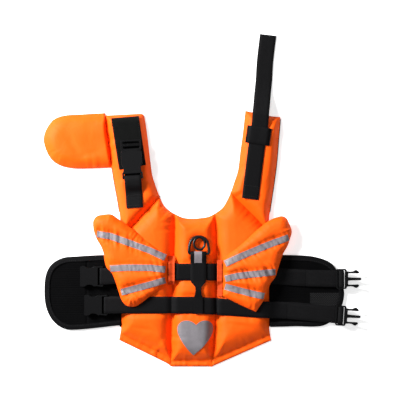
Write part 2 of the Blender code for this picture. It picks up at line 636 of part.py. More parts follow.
def wing_tab(side, near_x, far_x, y0, y1):
    """The flat edge by which a wing is sewn into the seam beside the centre back."""
    table = UPPER_BELT

    def floor(x, y):
        t = (x - near_x) / (far_x - near_x)
        pad_line = (PAD_TOP + SIT) * (1 - t) + (PAD_FOOT + PAD_EDGE + 1.0) * t
        off = abs(y - along(table, x)) - WEB_W / 2 - 1.0
        over = max(belt_row(table, x + u)[2] for u in (-2, 0, 2)) + WEB_T / 2 + SIT + 0.5
        return max(pad_line, ground(x, y, 1.5, 1.5) + SIT, over - max(0.0, off) * 1.0)

    loop = [Vector(p) for p in rectangle(min(near_x, far_x), max(near_x, far_x), y0, y1)]
    edge = []
    for a, b in zip(loop, loop[1:] + loop[:1]):
        n = max(1, round((b - a).length / 2.6))
        edge += [a + (b - a) * (k / n) for k in range(n)]
    points = []
    for k in range(1, 4):
        x = near_x + (far_x - near_x) * k / 4
        points += [Vector((x, y0 + (y1 - y0) * j / 24)) for j in range(1, 24)]
        for side_y in (-1, 1):
            y = along(table, x) + side_y * (WEB_W / 2 + 1.0)
            if y0 + 1 < y < y1 - 1:
                points = [p for p in points if (p - Vector((x, y))).length > 0.8]
                points.append(Vector((x, y)))
    sheet("wing_tab_" + side, "orange_nylon", edge, lambda x, y: floor(x, y) + 1.2, floor, points)


wing_tab("left", -39.2, -29.7, 12.6, 55.6)
wing_tab("right", 41.5, 33.9, -5.0, 50.0)


def tape(name, rows, pad):
    """A reflective strip lying on a wing: the wing's surface over its plan, moved out."""
    pts = [Vector(r) for r in rows]
    left, right, mids = [], [], []
    for a, b in zip(pts, pts[1:]):
        n = max(1, round((b - a).length / 6.0))
        for k in range(n + (b is pts[-1])):
            run = (b - a).normalized()
            p, side = a + (b - a) * (k / n), Vector((-run.y, run.x)) * (TAPE_W / 2)
            left.append(p + side)
            right.append(p - side)
            mids.append(p)
    loop = right + left[::-1]

    def under(x, y):
        spots = [(x + u, y + v) for u in (-2.4, 0, 2.4) for v in (-2.4, 0, 2.4)]
        ok = inside(spots, pad.loop)
        return max([pad.top(*s) for s, k in zip(spots, ok) if k] or [wing_floor(x, y) + 3]) + SIT

    sheet(name, "reflective_tape", loop, lambda x, y: under(x, y) + TAPE_T, under, mids[1:-1])


for tape_name, rows in TAPES.items():
    tape(tape_name, rows, WINGS["left" if "left" in tape_name else "right"])


# ---------------------------------------------------------------- heart and hook-and-loop patch
def laid_on(name, slot, loop, thick, lift=SIT, pitch=3.8):
    """A thin piece lying on the pads: their surface over its plan, moved out."""
    xs, ys = [p.x for p in loop], [p.y for p in loop]
    grid = [Vector((x, y)) for x in np.arange(min(xs) + 1, max(xs), pitch)
            for y in np.arange(min(ys) + 1, max(ys), pitch)]
    clear = distances(grid, loop).min(1) > 1.4
    points = [p for p, a, b in zip(grid, inside(grid, loop), clear) if a and b]

    def under(x, y):
        return ground(x, y, 1.5, 1.5) + lift

    return sheet(name, slot, loop, lambda x, y: under(x, y) + thick, under, points)


laid_on("heart", "reflective_tape", smooth(HEART, 3.8), TAPE_T)
patch = []
corners = [Vector(p[:2]) for p in PATCH]
for a, b in zip(corners, corners[1:] + corners[:1]):
    n = round((b - a).length / 5.0)
    patch += [a + (b - a) * (k / n) for k in range(n)]
laid_on("hook_loop_patch", "hook_and_loop", patch, 1.0, pitch=5.0)

# ---------------------------------------------------------------- neck webbing
BAR_Z = NECK_BUCKLE_Z + 4.5
neck_dir = Vector((c, s))
neck_bar = Vector(NECK_AT) + neck_dir * (16.2 + 42.0 - 1.8)
lie = STRAP_TOP + WEB_T / 2
fold = ([(14, BAR_Z - 3.3), (8, BAR_Z - 3.2)] + [(u, BAR_Z + w) for u, w in BAR_TURN[::-1]]
        + [(6, BAR_Z + 2.5), (13, BAR_Z + 0.4), (19, lie + 1.9), (24, lie + 0.2), (45, lie)])
ribbon("neck_webbing_left", "black_webbing",
       [(neck_bar.x + neck_dir.x * u, neck_bar.y + neck_dir.y * u, z) for u, z in fold],
       WEB_W, across=(-s, c, 0))

NECK_WEB = [  # x, y, z of its middle: on the strap, over its end and down to the table
    (83.3, 141, 14.3), (88, 180, 14.3), (93.2, 220.5, 14.3), (96.7, 243, 14.3),
    (97.8, 252, 14.3), (98.9, 263, 14.3), (99.4, 271, 13.6), (100.4, 279, 11.0),
    (101.3, 288, 7.4), (102.2, 297, 4.2), (103.4, 308, 1.9), (104.6, 320, 1.0),
    (106.4, 349, 0.95), (111, 388.3, 0.95)]
ribbon("neck_webbing_right", "black_webbing", NECK_WEB, WEB_W)

# elastic keeper over that webbing: offset across it, height of its middle
KEEPER = [(-18.4, 0.7), (-15.9, 0.75), (-14.8, 1.7), (-13.4, 2.9), (0, 2.95), (13.4, 2.9),
          (14.8, 1.7), (15.9, 0.75), (18.4, 0.7)]
kx, ky, kt = 95.8, 236.0, math.radians(-8.4)
ribbon("keeper", "black_webbing",
       [(kx + math.cos(kt) * u, ky + math.sin(kt) * u,
         max(STRAP_TOP, ground(kx + math.cos(kt) * u, ky + math.sin(kt) * u, 2, 13) + SIT) + z)
        for u, z in KEEPER], 26.0, 1.3, across=(-math.sin(kt), math.cos(kt), 0))

# ---------------------------------------------------------------- ring and its webbing
RING_Y, RING_Z, WIRE = 59.5, 19.2, 1.6
ARCH_EXTRA = 0.5
RING_TILT = -2.6                  # z fall over the ring's 25 mm, so its far end nears the pad


def ring_point(x, y):
    return (x, y, RING_Z + RING_TILT * (y - RING_Y) / 25.0)


ARCH = [(-6.2, 59.5, 1), (7, 59.5, 1), (19.6, 59.5, 1), (21.2, 60.3, 0), (22.0, 62.2, 0),
        (21.8, 67, 0), (19.8, 74.5, 0), (14.8, 81.6, 0), (7.0, 84.7, 0), (-0.9, 81.6, 0),
        (-6.0, 74.5, 0), (-8.3, 67, 0), (-8.6, 62.2, 0), (-7.8, 60.3, 0)]
arch = [ring_point(p.x, p.y) for p in smooth(ARCH, 4.4)]
eye = [ring_point(7.5 + 8.2 * math.cos(a), 74.7 + 9.2 * math.sin(a))
       for a in np.linspace(0, 2 * math.pi, 20, endpoint=False)]
carve(tube("d_ring", "black_coated_steel", arch,          # the arch is thicker than its bar
           [WIRE + along([(59.6, 0.0), (64.0, ARCH_EXTRA)], y) for _, y, _ in arch]),
      [tube("eye", "black_coated_steel", eye, 1.75)], "UNION")

CENTRE_X = 5.8
over_belt = CENTRE_TOP + SIT + WEB_T + SIT + WEB_T / 2 + 0.2
r = WIRE + 0.25 + WEB_T / 2
CENTRE_STRAP = [  # y, height of its middle, width
    (-30.4, over_belt, 13.5), (-6.0, over_belt, 13.5), (-2.0, over_belt + 0.6, 10.0),
    (4.0, over_belt + 1.2, 8.6), (9.0, over_belt + 1.0, 9.0), (13.0, over_belt + 0.5, 15.0),
    (17.0, over_belt + 0.1, 22.5), (20.5, over_belt, 23.8), (46.0, over_belt, 23.8),
    (51.0, over_belt + 1.6, 23.6), (RING_Y - 2.6, RING_Z + r - 0.1, 23.0)]
strap_rows = [(CENTRE_X, y, z) for y, z, _ in CENTRE_STRAP]
strap_widths = [w for *_, w in CENTRE_STRAP]
for a in (90, 55, 20, -20, -55, -90):
    strap_rows.append((CENTRE_X, RING_Y + r * math.cos(math.radians(a)),
                       RING_Z + r * math.sin(math.radians(a))))
    strap_widths.append(23.0)
for y, z in ((RING_Y - 3.5, RING_Z - r - 0.1), (49.0, CENTRE_TOP + SIT + WEB_T / 2 + 0.2)):
    strap_rows.append((CENTRE_X, y, z))
    strap_widths.append(23.8)
ribbon("centre_strap", "black_webbing", strap_rows, strap_widths, across=(1, 0, 0))

GLINT = [(44.6, over_belt), (46.0, over_belt), (51.0, over_belt + 1.6),
         (RING_Y - 2.6, RING_Z + r - 0.1), (RING_Y - 1.3, RING_Z + r)]
ribbon("centre_tape", "reflective_tape",
       [(5.7, y, z + WEB_T / 2 + 0.9) for y, z in GLINT], 11.8, TAPE_T, across=(1, 0, 0))

bpy.context.view_layer.update()
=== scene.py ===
# %% [markdown]
# # A dog's life jacket, laid flat
# The jacket is orange nylon sewn round slabs of foam, on a black lining. Two shoulder straps
# leave the back, two scalloped wings are sewn into the seams beside its middle panel, and two
# black belly panels carry webbing belts with side-release buckles. It lies on a table with its
# back up. Lengths here are metres; sizes of cloth and thread are written in millimetres times MM.

# %% Load the frame
import json
import math

import bmesh
import bpy
import numpy as np
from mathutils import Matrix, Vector, noise
from mathutils.bvhtree import BVHTree
from mathutils.geometry import delaunay_2d_cdt


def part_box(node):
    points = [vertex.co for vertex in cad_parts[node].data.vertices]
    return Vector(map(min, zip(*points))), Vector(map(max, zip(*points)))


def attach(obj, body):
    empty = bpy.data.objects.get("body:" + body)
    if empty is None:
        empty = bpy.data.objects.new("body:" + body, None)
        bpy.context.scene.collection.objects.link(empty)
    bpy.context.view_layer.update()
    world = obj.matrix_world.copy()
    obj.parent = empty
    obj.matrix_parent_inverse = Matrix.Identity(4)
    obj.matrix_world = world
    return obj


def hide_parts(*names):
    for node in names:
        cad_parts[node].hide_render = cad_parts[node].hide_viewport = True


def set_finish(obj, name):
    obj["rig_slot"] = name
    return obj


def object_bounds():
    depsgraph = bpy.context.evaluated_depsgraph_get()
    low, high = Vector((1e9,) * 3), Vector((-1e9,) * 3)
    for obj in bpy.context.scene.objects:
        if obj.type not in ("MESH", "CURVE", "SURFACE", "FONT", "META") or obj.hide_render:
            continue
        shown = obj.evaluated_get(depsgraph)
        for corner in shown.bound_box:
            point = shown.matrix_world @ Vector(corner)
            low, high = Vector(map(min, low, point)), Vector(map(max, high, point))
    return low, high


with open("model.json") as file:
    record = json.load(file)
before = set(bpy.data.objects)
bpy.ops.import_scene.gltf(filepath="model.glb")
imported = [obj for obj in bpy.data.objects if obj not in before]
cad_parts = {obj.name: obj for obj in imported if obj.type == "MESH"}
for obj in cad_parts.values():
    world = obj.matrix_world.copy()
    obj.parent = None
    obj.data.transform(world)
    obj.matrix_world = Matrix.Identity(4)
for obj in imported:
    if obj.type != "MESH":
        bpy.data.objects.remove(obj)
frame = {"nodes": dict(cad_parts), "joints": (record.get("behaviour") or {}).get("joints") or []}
cad_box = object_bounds()
MM = 0.001
size = cad_box[1] - cad_box[0]
print("frame", len(frame["nodes"]), "nodes,", [round(v / MM) for v in size], "mm")

# %% [markdown]
# ## Reading outlines back from the solids
# Every cut piece already has a plain solid in the frame, so its outline is read from there and
# not typed again. The solids arrive as loose triangles. Their doubles are merged first, and then
# the outline is the border of the faces that look down.


# %% Outline of a solid
def merged(node):
    """The points of a solid with doubles merged, and its triangles."""
    form = bmesh.new()
    form.from_mesh(frame["nodes"][node].data)
    bmesh.ops.remove_doubles(form, verts=form.verts, dist=0.005 * MM)
    form.verts.index_update()
    points = np.array([v.co[:] for v in form.verts])
    tris = [[v.index for v in face.verts] for face in form.faces]
    form.free()
    return points, tris


def area_of(loop):
    x, y = loop[:, 0], loop[:, 1]
    return 0.5 * float(np.sum(x * np.roll(y, -1) - np.roll(x, -1) * y))


def rim(node):
    """Plan outline of a solid's underside, anticlockwise, as an array of x, y."""
    points, tris = merged(node)
    edges = set()
    for a, b, c in tris:
        normal = np.cross(points[b] - points[a], points[c] - points[a])
        if -normal[2] > 0.35 * np.linalg.norm(normal):
            edges |= {(a, b), (b, c), (c, a)}
    follow = {a: b for a, b in edges if (b, a) not in edges}
    loops = []
    while follow:
        loop = [min(follow)]
        while loop[-1] in follow:
            loop.append(follow.pop(loop[-1]))
        loops.append(loop[:-1])
    loop = points[max(loops, key=len)][:, :2]
    return loop if area_of(loop) > 0 else loop[::-1]


def smooth(loop, step, corner=46.0, straight=16.0 * MM):
    """The loop as a curve with points about one step apart; sharp turns stay corners."""
    n = len(loop)
    run = np.roll(loop, -1, 0) - loop
    length = np.hypot(*run.T)
    unit = run / length[:, None]
    turn = np.degrees(np.arccos(np.clip((unit * np.roll(unit, 1, 0)).sum(1), -1, 1)))
    mean = unit + np.roll(unit, 1, 0)
    mean /= np.maximum(1e-9, np.hypot(*mean.T))[:, None]
    out = []
    for i in range(n):
        j = (i + 1) % n
        line = length[i] > straight
        leave = (unit[i] if turn[i] > corner or line else mean[i]) * length[i]
        arrive = (unit[i] if turn[j] > corner or line else mean[j]) * length[i]
        count = max(1, round(length[i] / step))
        for t in np.arange(count) / count:
            out.append(loop[i] * (2 * t**3 - 3 * t**2 + 1) + leave * (t**3 - 2 * t**2 + t)
                       + loop[j] * (3 * t**2 - 2 * t**3) + arrive * (t**3 - t**2))
    return np.array(out)


def soften_corners(loop, where, radius):
    """The loop with each sharp corner that where(point) picks cut back for a small round."""
    out = []
    for before, here, after in zip(np.roll(loop, 1, 0), loop, np.roll(loop, -1, 0)):
        a, b = here - before, after - here
        a, b = a / np.hypot(*a), b / np.hypot(*b)
        if where(here) and a @ b < 0.7:
            out += [here - a * radius, here - (a - b) * radius * 0.29, here + b * radius]
        else:
            out.append(here)
    return np.array(out)


# %% Distances and insides, for many points at once
def nearest(points, loop):
    """For each point: distance to the loop, the side that is nearest, and how far along."""
    p = np.asarray(points)[:, None, :]
    a, b = loop[None], np.roll(loop, -1, 0)[None]
    t = np.clip(((p - a) * (b - a)).sum(2) / np.maximum(1e-12, ((b - a) ** 2).sum(2)), 0, 1)
    gap = np.linalg.norm(p - a - (b - a) * t[..., None], axis=2)
    side = gap.argmin(1)
    length = np.linalg.norm(b - a, axis=2)[0]
    along = np.concatenate([[0], np.cumsum(length)])
    row = np.arange(len(side))
    return gap[row, side], side, along[side] + t[row, side] * length[side], gap


def inside(points, loop):
    p = np.asarray(points)[:, None, :]
    a, b = loop[None], np.roll(loop, -1, 0)[None]
    above = (a[..., 1] > p[..., 1]) != (b[..., 1] > p[..., 1])
    rise = np.where(b[..., 1] == a[..., 1], 1e-12, b[..., 1] - a[..., 1])
    cross = (b[..., 0] - a[..., 0]) * (p[..., 1] - a[..., 1]) / rise + a[..., 0]
    return (above & (p[..., 0] < cross)).sum(1) % 2 == 1


def outward(loop):
    """Unit normals in plan that point away from the loop's inside."""
    run = np.roll(loop, -1, 0) - np.roll(loop, 1, 0)
    return np.stack([run[:, 1], -run[:, 0]], 1) / np.hypot(*run.T)[:, None]


def lattice(loop, pitch):
    """Points on a triangular grid inside the loop, clear of its edge."""
    low, high = loop.min(0), loop.max(0)
    rows = np.arange(low[1] + pitch / 2, high[1], pitch * 0.866)
    spots = [(x + (k % 2) * pitch / 2, y) for k, y in enumerate(rows)
             for x in np.arange(low[0], high[0], pitch)]
    spots = np.array(spots)
    return spots[inside(spots, loop) & (nearest(spots, loop)[0] > pitch * 0.55)]


# %% [markdown]
# ## One builder for every cut piece
# A cut piece is a closed body over its outline: a fine net of triangles on top, the same outline
# below, and a wall between. Its top is a height worked out for each point, so padding, puckers
# and dents are all just terms that add up.


# %% Closed body over an outline
def body(name, loop, top, under, points, finish, flat_under=True, soft=40):
    """A closed piece between under(points) and top(points) over the loop."""
    n = len(loop)
    border = [(i, (i + 1) % n) for i in range(n)]

    def net(extra):
        spots = [Vector(p) for p in np.vstack([loop, extra])] if len(extra) else [
            Vector(p) for p in loop]
        plan, _, tris, *_ = delaunay_2d_cdt(spots, border, [], 0, 1e-8)
        plan = np.array([tuple(p) for p in plan])
        middle = plan[np.array(tris)].mean(1)
        return plan, [t for t, keep in zip(tris, inside(middle, loop)) if keep]

    plan, tris = net(points)
    low_plan, low_tris = net(np.zeros((0, 2))) if flat_under else (plan, tris)
    verts = [(*p, z) for p, z in zip(plan, top(plan))]
    start = len(verts)
    verts += [(*p, z) for p, z in zip(low_plan, under(low_plan))]
    faces = [list(t) for t in tris] + [[start + i for i in t[::-1]] for t in low_tris]
    match = {tuple(np.round(p, 7)): start + i for i, p in enumerate(low_plan)}
    uses = {}
    for t in tris:
        for a, b in ((t[0], t[1]), (t[1], t[2]), (t[2], t[0])):
            uses[(a, b)] = True
    for a, b in uses:
        if (b, a) not in uses:
            faces.append([a, match[tuple(np.round(plan[a], 7))],
                          match[tuple(np.round(plan[b], 7))], b])
    return mesh_piece(name, verts, faces, finish, soft)


def mesh_piece(name, verts, faces, finish, soft=40):
    """A mesh object with outward faces and one finish."""
    mesh = bpy.data.meshes.new(name)
    mesh.from_pydata([tuple(v) for v in verts], [], faces)
    form = bmesh.new()
    form.from_mesh(mesh)
    bmesh.ops.recalc_face_normals(form, faces=form.faces)
    form.to_mesh(mesh)
    form.free()
    mesh.shade_smooth()
    mesh.set_sharp_from_angle(angle=math.radians(soft))
    piece = bpy.data.objects.new(name, mesh)
    bpy.context.scene.collection.objects.link(piece)
    mesh.materials.append(finish)
    return piece


def put(piece, slot, *nodes, rides="jacket"):
    """Hand a finished piece to the frame in place of its plain solids."""
    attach(piece, rides)
    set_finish(piece, slot)
    if nodes:
        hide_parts(*nodes)
    tris = sum(len(p.vertices) - 2 for p in piece.data.polygons)
    print(f"{piece.name}: {tris} triangles")
    return piece


def on_table(piece, loop):
    """Work out the area of a flat cut piece's outline; the result is not kept."""
    area_of(loop)


# %% [markdown]
# ## Shared effects
# Thread and creases show in most of the finishes, so each is one node group with named inputs.
# The weave is two crossing sine waves, which is what a plain weave looks like once it is smaller
# than a fingertip. Creases are two sizes of soft noise. Each group also gives a painted shade for
# the colour: darker where its height is low and lighter where it is high.


# %% Node group helpers
def new_group(name, inputs, outputs):
    tree = bpy.data.node_groups.new(name, "ShaderNodeTree")
    for label, kind, value in inputs:
        socket = tree.interface.new_socket(label, in_out="INPUT", socket_type=kind)
        if value is not None:
            socket.default_value = value
    for label, kind in outputs:
        tree.interface.new_socket(label, in_out="OUTPUT", socket_type=kind)
    return tree, tree.nodes.new("NodeGroupInput"), tree.nodes.new("NodeGroupOutput")


def calc(tree, operation, *values, clamp=False):
    """A Math node fed by sockets or numbers; gives its output socket."""
    node = tree.nodes.new("ShaderNodeMath")
    node.operation, node.use_clamp = operation, clamp
    for socket, value in zip(node.inputs, values):
        if isinstance(value, bpy.types.NodeSocket):
            tree.links.new(value, socket)
        else:
            socket.default_value = value
    return node.outputs[0]


def split(tree, vector):
    node = tree.nodes.new("ShaderNodeSeparateXYZ")
    tree.links.new(vector, node.inputs[0])
    return node.outputs[0], node.outputs[1], node.outputs[2]


# %% Plain weave
FLOAT, VECTOR = "NodeSocketFloat", "NodeSocketVector"
weave, given, made = new_group(
    "Plain weave", [("Vector", VECTOR, None), ("Thread", FLOAT, 0.5 * MM)],
    [("Height", FLOAT), ("Shade", FLOAT)])
x, y, z = split(weave, given.outputs["Vector"])
across = calc(weave, "SINE", calc(weave, "DIVIDE", calc(weave, "MULTIPLY", x, math.pi),
                                  given.outputs["Thread"]))
along = calc(weave, "SINE", calc(weave, "DIVIDE", calc(weave, "MULTIPLY", y, math.pi),
                                 given.outputs["Thread"]))
cross = calc(weave, "MULTIPLY_ADD", calc(weave, "MULTIPLY", across, along), 0.5, 0.5)
weave.links.new(cross, made.inputs["Height"])
# Painted shade: the colour is lighter on the thread crests and darker between them.
weave.links.new(calc(weave, "MULTIPLY_ADD", cross, 0.16, 0.92), made.inputs["Shade"])

# %% Soft creases
crease, given, made = new_group(
    "Soft creases", [("Vector", VECTOR, None), ("Scale", FLOAT, 60.0), ("Contrast", FLOAT, 0.2)],
    [("Height", FLOAT), ("Shade", FLOAT)])
layers = []
for factor, detail, warp in ((1.0, 2.0, 1.4), (3.7, 3.0, 0.6)):
    cloud = crease.nodes.new("ShaderNodeTexNoise")
    cloud.inputs["Detail"].default_value = detail
    cloud.inputs["Distortion"].default_value = warp
    crease.links.new(given.outputs["Vector"], cloud.inputs["Vector"])
    crease.links.new(calc(crease, "MULTIPLY", given.outputs["Scale"], factor),
                     cloud.inputs["Scale"])
    layers.append(cloud.outputs["Fac"])
blend = calc(crease, "MULTIPLY_ADD", layers[1], 0.3, calc(crease, "MULTIPLY", layers[0], 0.7))
crease.links.new(blend, made.inputs["Height"])
# Painted shade: the colour is darker in the low creases and lighter on their ridges.
crease_shade = calc(crease, "MULTIPLY", calc(crease, "SUBTRACT", blend, 0.5), given.outputs["Contrast"])
crease.links.new(calc(crease, "ADD", crease_shade, 1.0), made.inputs["Shade"])

# %% Webbing weave, along and across the band
band, given, made = new_group(
    "Webbing weave", [("Vector", VECTOR, None), ("Rib", FLOAT, 1.3 * MM),
                      ("Yarn", FLOAT, 0.8 * MM)], [("Height", FLOAT), ("Shade", FLOAT)])
u, v, w = split(band, given.outputs["Vector"])
yarn = calc(band, "ABSOLUTE", calc(band, "SINE", calc(
    band, "DIVIDE", calc(band, "MULTIPLY", u, math.pi), given.outputs["Yarn"])))
shift = calc(band, "MULTIPLY", calc(band, "DIVIDE", u, given.outputs["Yarn"]), 0.5)
rib = calc(band, "ABSOLUTE", calc(band, "SINE", calc(band, "MULTIPLY", calc(
    band, "ADD", calc(band, "DIVIDE", v, given.outputs["Rib"]), shift), math.pi)))
both = calc(band, "MULTIPLY_ADD", rib, 0.65, calc(band, "MULTIPLY", yarn, 0.35))
band.links.new(both, made.inputs["Height"])
# Painted shade: the colour is lighter on the rib and yarn crests and darker between them.
band.links.new(calc(band, "MULTIPLY_ADD", both, 0.9, 0.45), made.inputs["Shade"])


# %% [markdown]
# ## Finishes
# Each finish keeps its Principled shader in the material. Roughness, sheen and coat are set on the
# shader itself; what changes over the surface, which is colour and normal, comes from the groups,
# and the colour change is painted shade that follows their bumps.


# %% Finish builder
def place_group(tree, group, vector, **values):
    node = tree.nodes.new("ShaderNodeGroup")
    node.node_tree = group
    tree.links.new(vector, node.inputs["Vector"])
    for label, value in values.items():
        node.inputs[label].default_value = value
    return node


def make_finish(name, colour, rough, effects, coordinates="Object", **shader):
    """A material whose colour and bump come from effects: (group, values, bump depth); the colour
    change is painted shade that follows each bump.
    """
    material = bpy.data.materials.new(name)
    material.use_nodes = True
    tree = material.node_tree
    main = tree.nodes["Principled BSDF"]
    main.inputs["Roughness"].default_value = rough
    for label, value in shader.items():
        main.inputs[label.replace("_", " ")].default_value = value
    where = tree.nodes.new("ShaderNodeTexCoord").outputs[coordinates]
    tint = tree.nodes.new("ShaderNodeRGB")
    tint.outputs[0].default_value = (*colour, 1)
    current, normal = tint.outputs[0], None
    for group, values, depth in effects:
        node = place_group(tree, group, where, **values)
        scale = tree.nodes.new("ShaderNodeVectorMath")
        scale.operation = "SCALE"
        tree.links.new(current, scale.inputs[0])
        # Each effect's painted shade scales the colour, in step with its bump.
        tree.links.new(node.outputs["Shade"], scale.inputs["Scale"])
        current = scale.outputs[0]
        bump = tree.nodes.new("ShaderNodeBump")
        bump.inputs["Distance"].default_value = depth
        tree.links.new(node.outputs["Height"], bump.inputs["Height"])
        if normal is not None:
            tree.links.new(normal, bump.inputs["Normal"])
        normal = bump.outputs[0]
    tree.links.new(current, main.inputs["Base Color"])
    if normal is not None:
        tree.links.new(normal, main.inputs["Normal"])
    return material


# %% The finishes of this jacket
ORANGE = (1.0, 0.104, 0.0024)
nylon = make_finish("orange oxford nylon", ORANGE, 0.55,
                    [(crease, {"Scale": 55.0, "Contrast": 0.25}, 0.5 * MM),
                     (weave, {"Thread": 0.42 * MM}, 0.06 * MM)], Specular_IOR_Level=0.12)
lining_cloth = make_finish("black lining", (0.004, 0.004, 0.0045), 0.8,
                           [(crease, {"Scale": 70.0, "Contrast": 0.4}, 0.2 * MM),
                            (weave, {"Thread": 0.6 * MM}, 0.08 * MM)], Specular_IOR_Level=0.1)
mesh_cloth = make_finish("black belly cloth", (0.0016, 0.0016, 0.0018), 0.7,
                         [(crease, {"Scale": 40.0, "Contrast": 0.5}, 0.3 * MM),
                          (weave, {"Thread": 0.9 * MM}, 0.14 * MM)], Specular_IOR_Level=0.025)
net_cloth = make_finish("black net", (0.0040, 0.0040, 0.0044), 0.6,
                        [(weave, {"Thread": 1.7 * MM}, 0.6 * MM)], Specular_IOR_Level=0.16)
binding_tape = make_finish("black binding", (0.0036, 0.0036, 0.0040), 0.6,
                           [(crease, {"Scale": 90.0, "Contrast": 0.5}, 0.25 * MM),
                            (weave, {"Thread": 0.55 * MM}, 0.08 * MM)], Specular_IOR_Level=0.05)
webbing_cloth = make_finish("black webbing", (0.0042, 0.0041, 0.0046), 0.6,
                            [(band, {"Rib": 1.3 * MM, "Yarn": 0.9 * MM}, 0.22 * MM)],
                            coordinates="UV", Specular_IOR_Level=0.07)
loop_pile = make_finish("loop pile", (0.0040, 0.0042, 0.0040), 0.95,
                        [(crease, {"Scale": 700.0, "Contrast": 1.2}, 0.5 * MM)],
                        Specular_IOR_Level=0.05, Sheen_Weight=0.02)
reflective = make_finish("reflective film", (0.205, 0.180, 0.195), 0.45,
                         [(crease, {"Scale": 120.0, "Contrast": 0.5}, 0.35 * MM),
                          (weave, {"Thread": 0.5 * MM}, 0.03 * MM)], Specular_IOR_Level=0.3)
heart_film = make_finish("grey reflective film", (0.185, 0.172, 0.185), 0.5,
                         [(crease, {"Scale": 60.0, "Contrast": 0.35}, 0.4 * MM),
                          (weave, {"Thread": 0.5 * MM}, 0.03 * MM)], Specular_IOR_Level=0.25)
# Darker, redder orange than the rest: painted shade of the wing beside each tab, on the same
# nylon.
tab_nylon_painted_shade = make_finish("orange tab nylon", (0.50, 0.050, 0.008), 0.6,
                        [(crease, {"Scale": 150.0, "Contrast": 0.6}, 0.5 * MM),
                         (weave, {"Thread": 0.42 * MM}, 0.06 * MM)], Specular_IOR_Level=0.1)
plastic = make_finish("black acetal", (0.0032, 0.0032, 0.0036), 0.34,
                      [(crease, {"Scale": 160.0, "Contrast": 0.2}, 0.05 * MM)],
                      Specular_IOR_Level=0.1)
steel = make_finish("black coated steel", (0.0050, 0.0050, 0.0055), 0.32,
                    [(crease, {"Scale": 90.0, "Contrast": 0.3}, 0.04 * MM)],
                    Specular_IOR_Level=0.25)
orange_thread = make_finish("orange thread", (0.95, 0.16, 0.008), 0.6,
                            [(weave, {"Thread": 0.25 * MM}, 0.03 * MM)], Specular_IOR_Level=0.2)
black_thread = make_finish("black thread", (0.012, 0.012, 0.013), 0.5,
                           [(weave, {"Thread": 0.25 * MM}, 0.03 * MM)], Specular_IOR_Level=0.2)
grey_thread = make_finish("grey thread", (0.22, 0.21, 0.22), 0.6,
                          [(weave, {"Thread": 0.25 * MM}, 0.03 * MM)], Specular_IOR_Level=0.2)
print("finishes", len(bpy.data.materials))

# %% [markdown]
# ## Foam panels
# A foam panel is sewn flat round its edge and swells between. Its height climbs from the seam over
# the rounding width and levels off. Three things make it look sewn: puckers that run in from the
# seam and die away, a dent where each belt holds it down, and a few long creases listed one by
# one.

# %% Belts as the frame has them
def ribbon_rows(node):
    """A webbing solid as rows from one end: middle, unit vector across, width, thickness."""
    points, tris = merged(node)
    links = {i: set() for i in range(len(points))}
    sides = {}
    for t in tris:
        for i in t:
            links[i] |= set(t)
        for pair in (t[:2], t[1:], t[::2]):
            sides.setdefault(tuple(sorted(pair)), set()).update(t)

    def layers(layer):
        seen, rows = set(), []
        while layer:
            rows.append(points[sorted(layer)])
            seen |= layer
            layer = set().union(*(links[i] for i in layer)) - seen
        return rows

    ends = [rows for rows in (layers(four) for four in sides.values() if len(four) == 4)
            if len(rows) > 2 and max(len(row) for row in rows) < 6]
    out = []
    for corners in min(ends, key=lambda rows: tuple(rows[0].mean(0).round(4))):
        if len(corners) != 4:
            continue
        gaps = [np.linalg.norm(c - corners[0]) for c in corners[1:]]
        order = np.argsort(gaps)
        side = corners[1:][order[1]] - corners[0]
        out.append((corners.mean(0), side / np.linalg.norm(side), np.linalg.norm(side),
                    gaps[order[0]]))
    return out


belt_rows = {name: ribbon_rows(name) for name in ("belt_upper", "belt_lower")}
for name, rows in belt_rows.items():
    print(name, len(rows), "rows, width", round(rows[5][2] / MM, 1))


def belt_line(name):
    """x and y of a belt's middle line where it crosses the back, in order of x."""
    spots = sorted((r[0][0], r[0][1]) for r in belt_rows[name] if abs(r[0][0]) < 0.115)
    return np.array(spots).T


BELT_LINES = [belt_line(name) for name in belt_rows]


# %% Terms that shape padding
PUCKER_LENGTH, PUCKER_WAVE = 8.0 * MM, 6.5 * MM


def rounded(depth, width):
    """0 at the seam, 1 from one width in, rounding over like stuffed cloth."""
    s = np.clip(depth / width, 0, 1)
    return 1 - (1 - s) ** 2.1


def noise_at(values, scale, seed):
    """Smooth noise from about -0.7 to 0.7 along one length."""
    return np.array([noise.noise(Vector((v / scale, seed, 0.5))) for v in values])


def wave(points, scale, seed):
    """Smooth noise over the plane."""
    return np.array([noise.noise(Vector((p[0] / scale, p[1] / scale, seed))) for p in points])


def belt_gap(points):
    """Distance from each point to the nearest belt's edge, below 0 under the belt."""
    gap = np.full(len(points), 1.0)
    for xs, ys in BELT_LINES:
        off = np.abs(points[:, 1] - np.interp(points[:, 0], xs, ys)) - 12.5 * MM
        gap = np.minimum(gap, off)
    return gap


def puckers(distance, along, seed):
    """Short folds that run in from the seam, uneven in height, length and spacing."""
    bent = along + 0.25 * distance * noise_at(along, 30 * MM, seed + 9)
    ridge = noise_at(bent, PUCKER_WAVE, seed * 3.1) + 0.5 * noise_at(bent, 2.6 * MM, seed * 1.7)
    strength = np.clip(0.6 + 1.3 * noise_at(along, 34 * MM, seed), 0.1, 1.5)
    reach = PUCKER_LENGTH * (0.6 + 0.8 * strength)
    return ridge * strength * np.clip(distance / (1.6 * MM), 0, 1) * np.exp(-distance / reach)
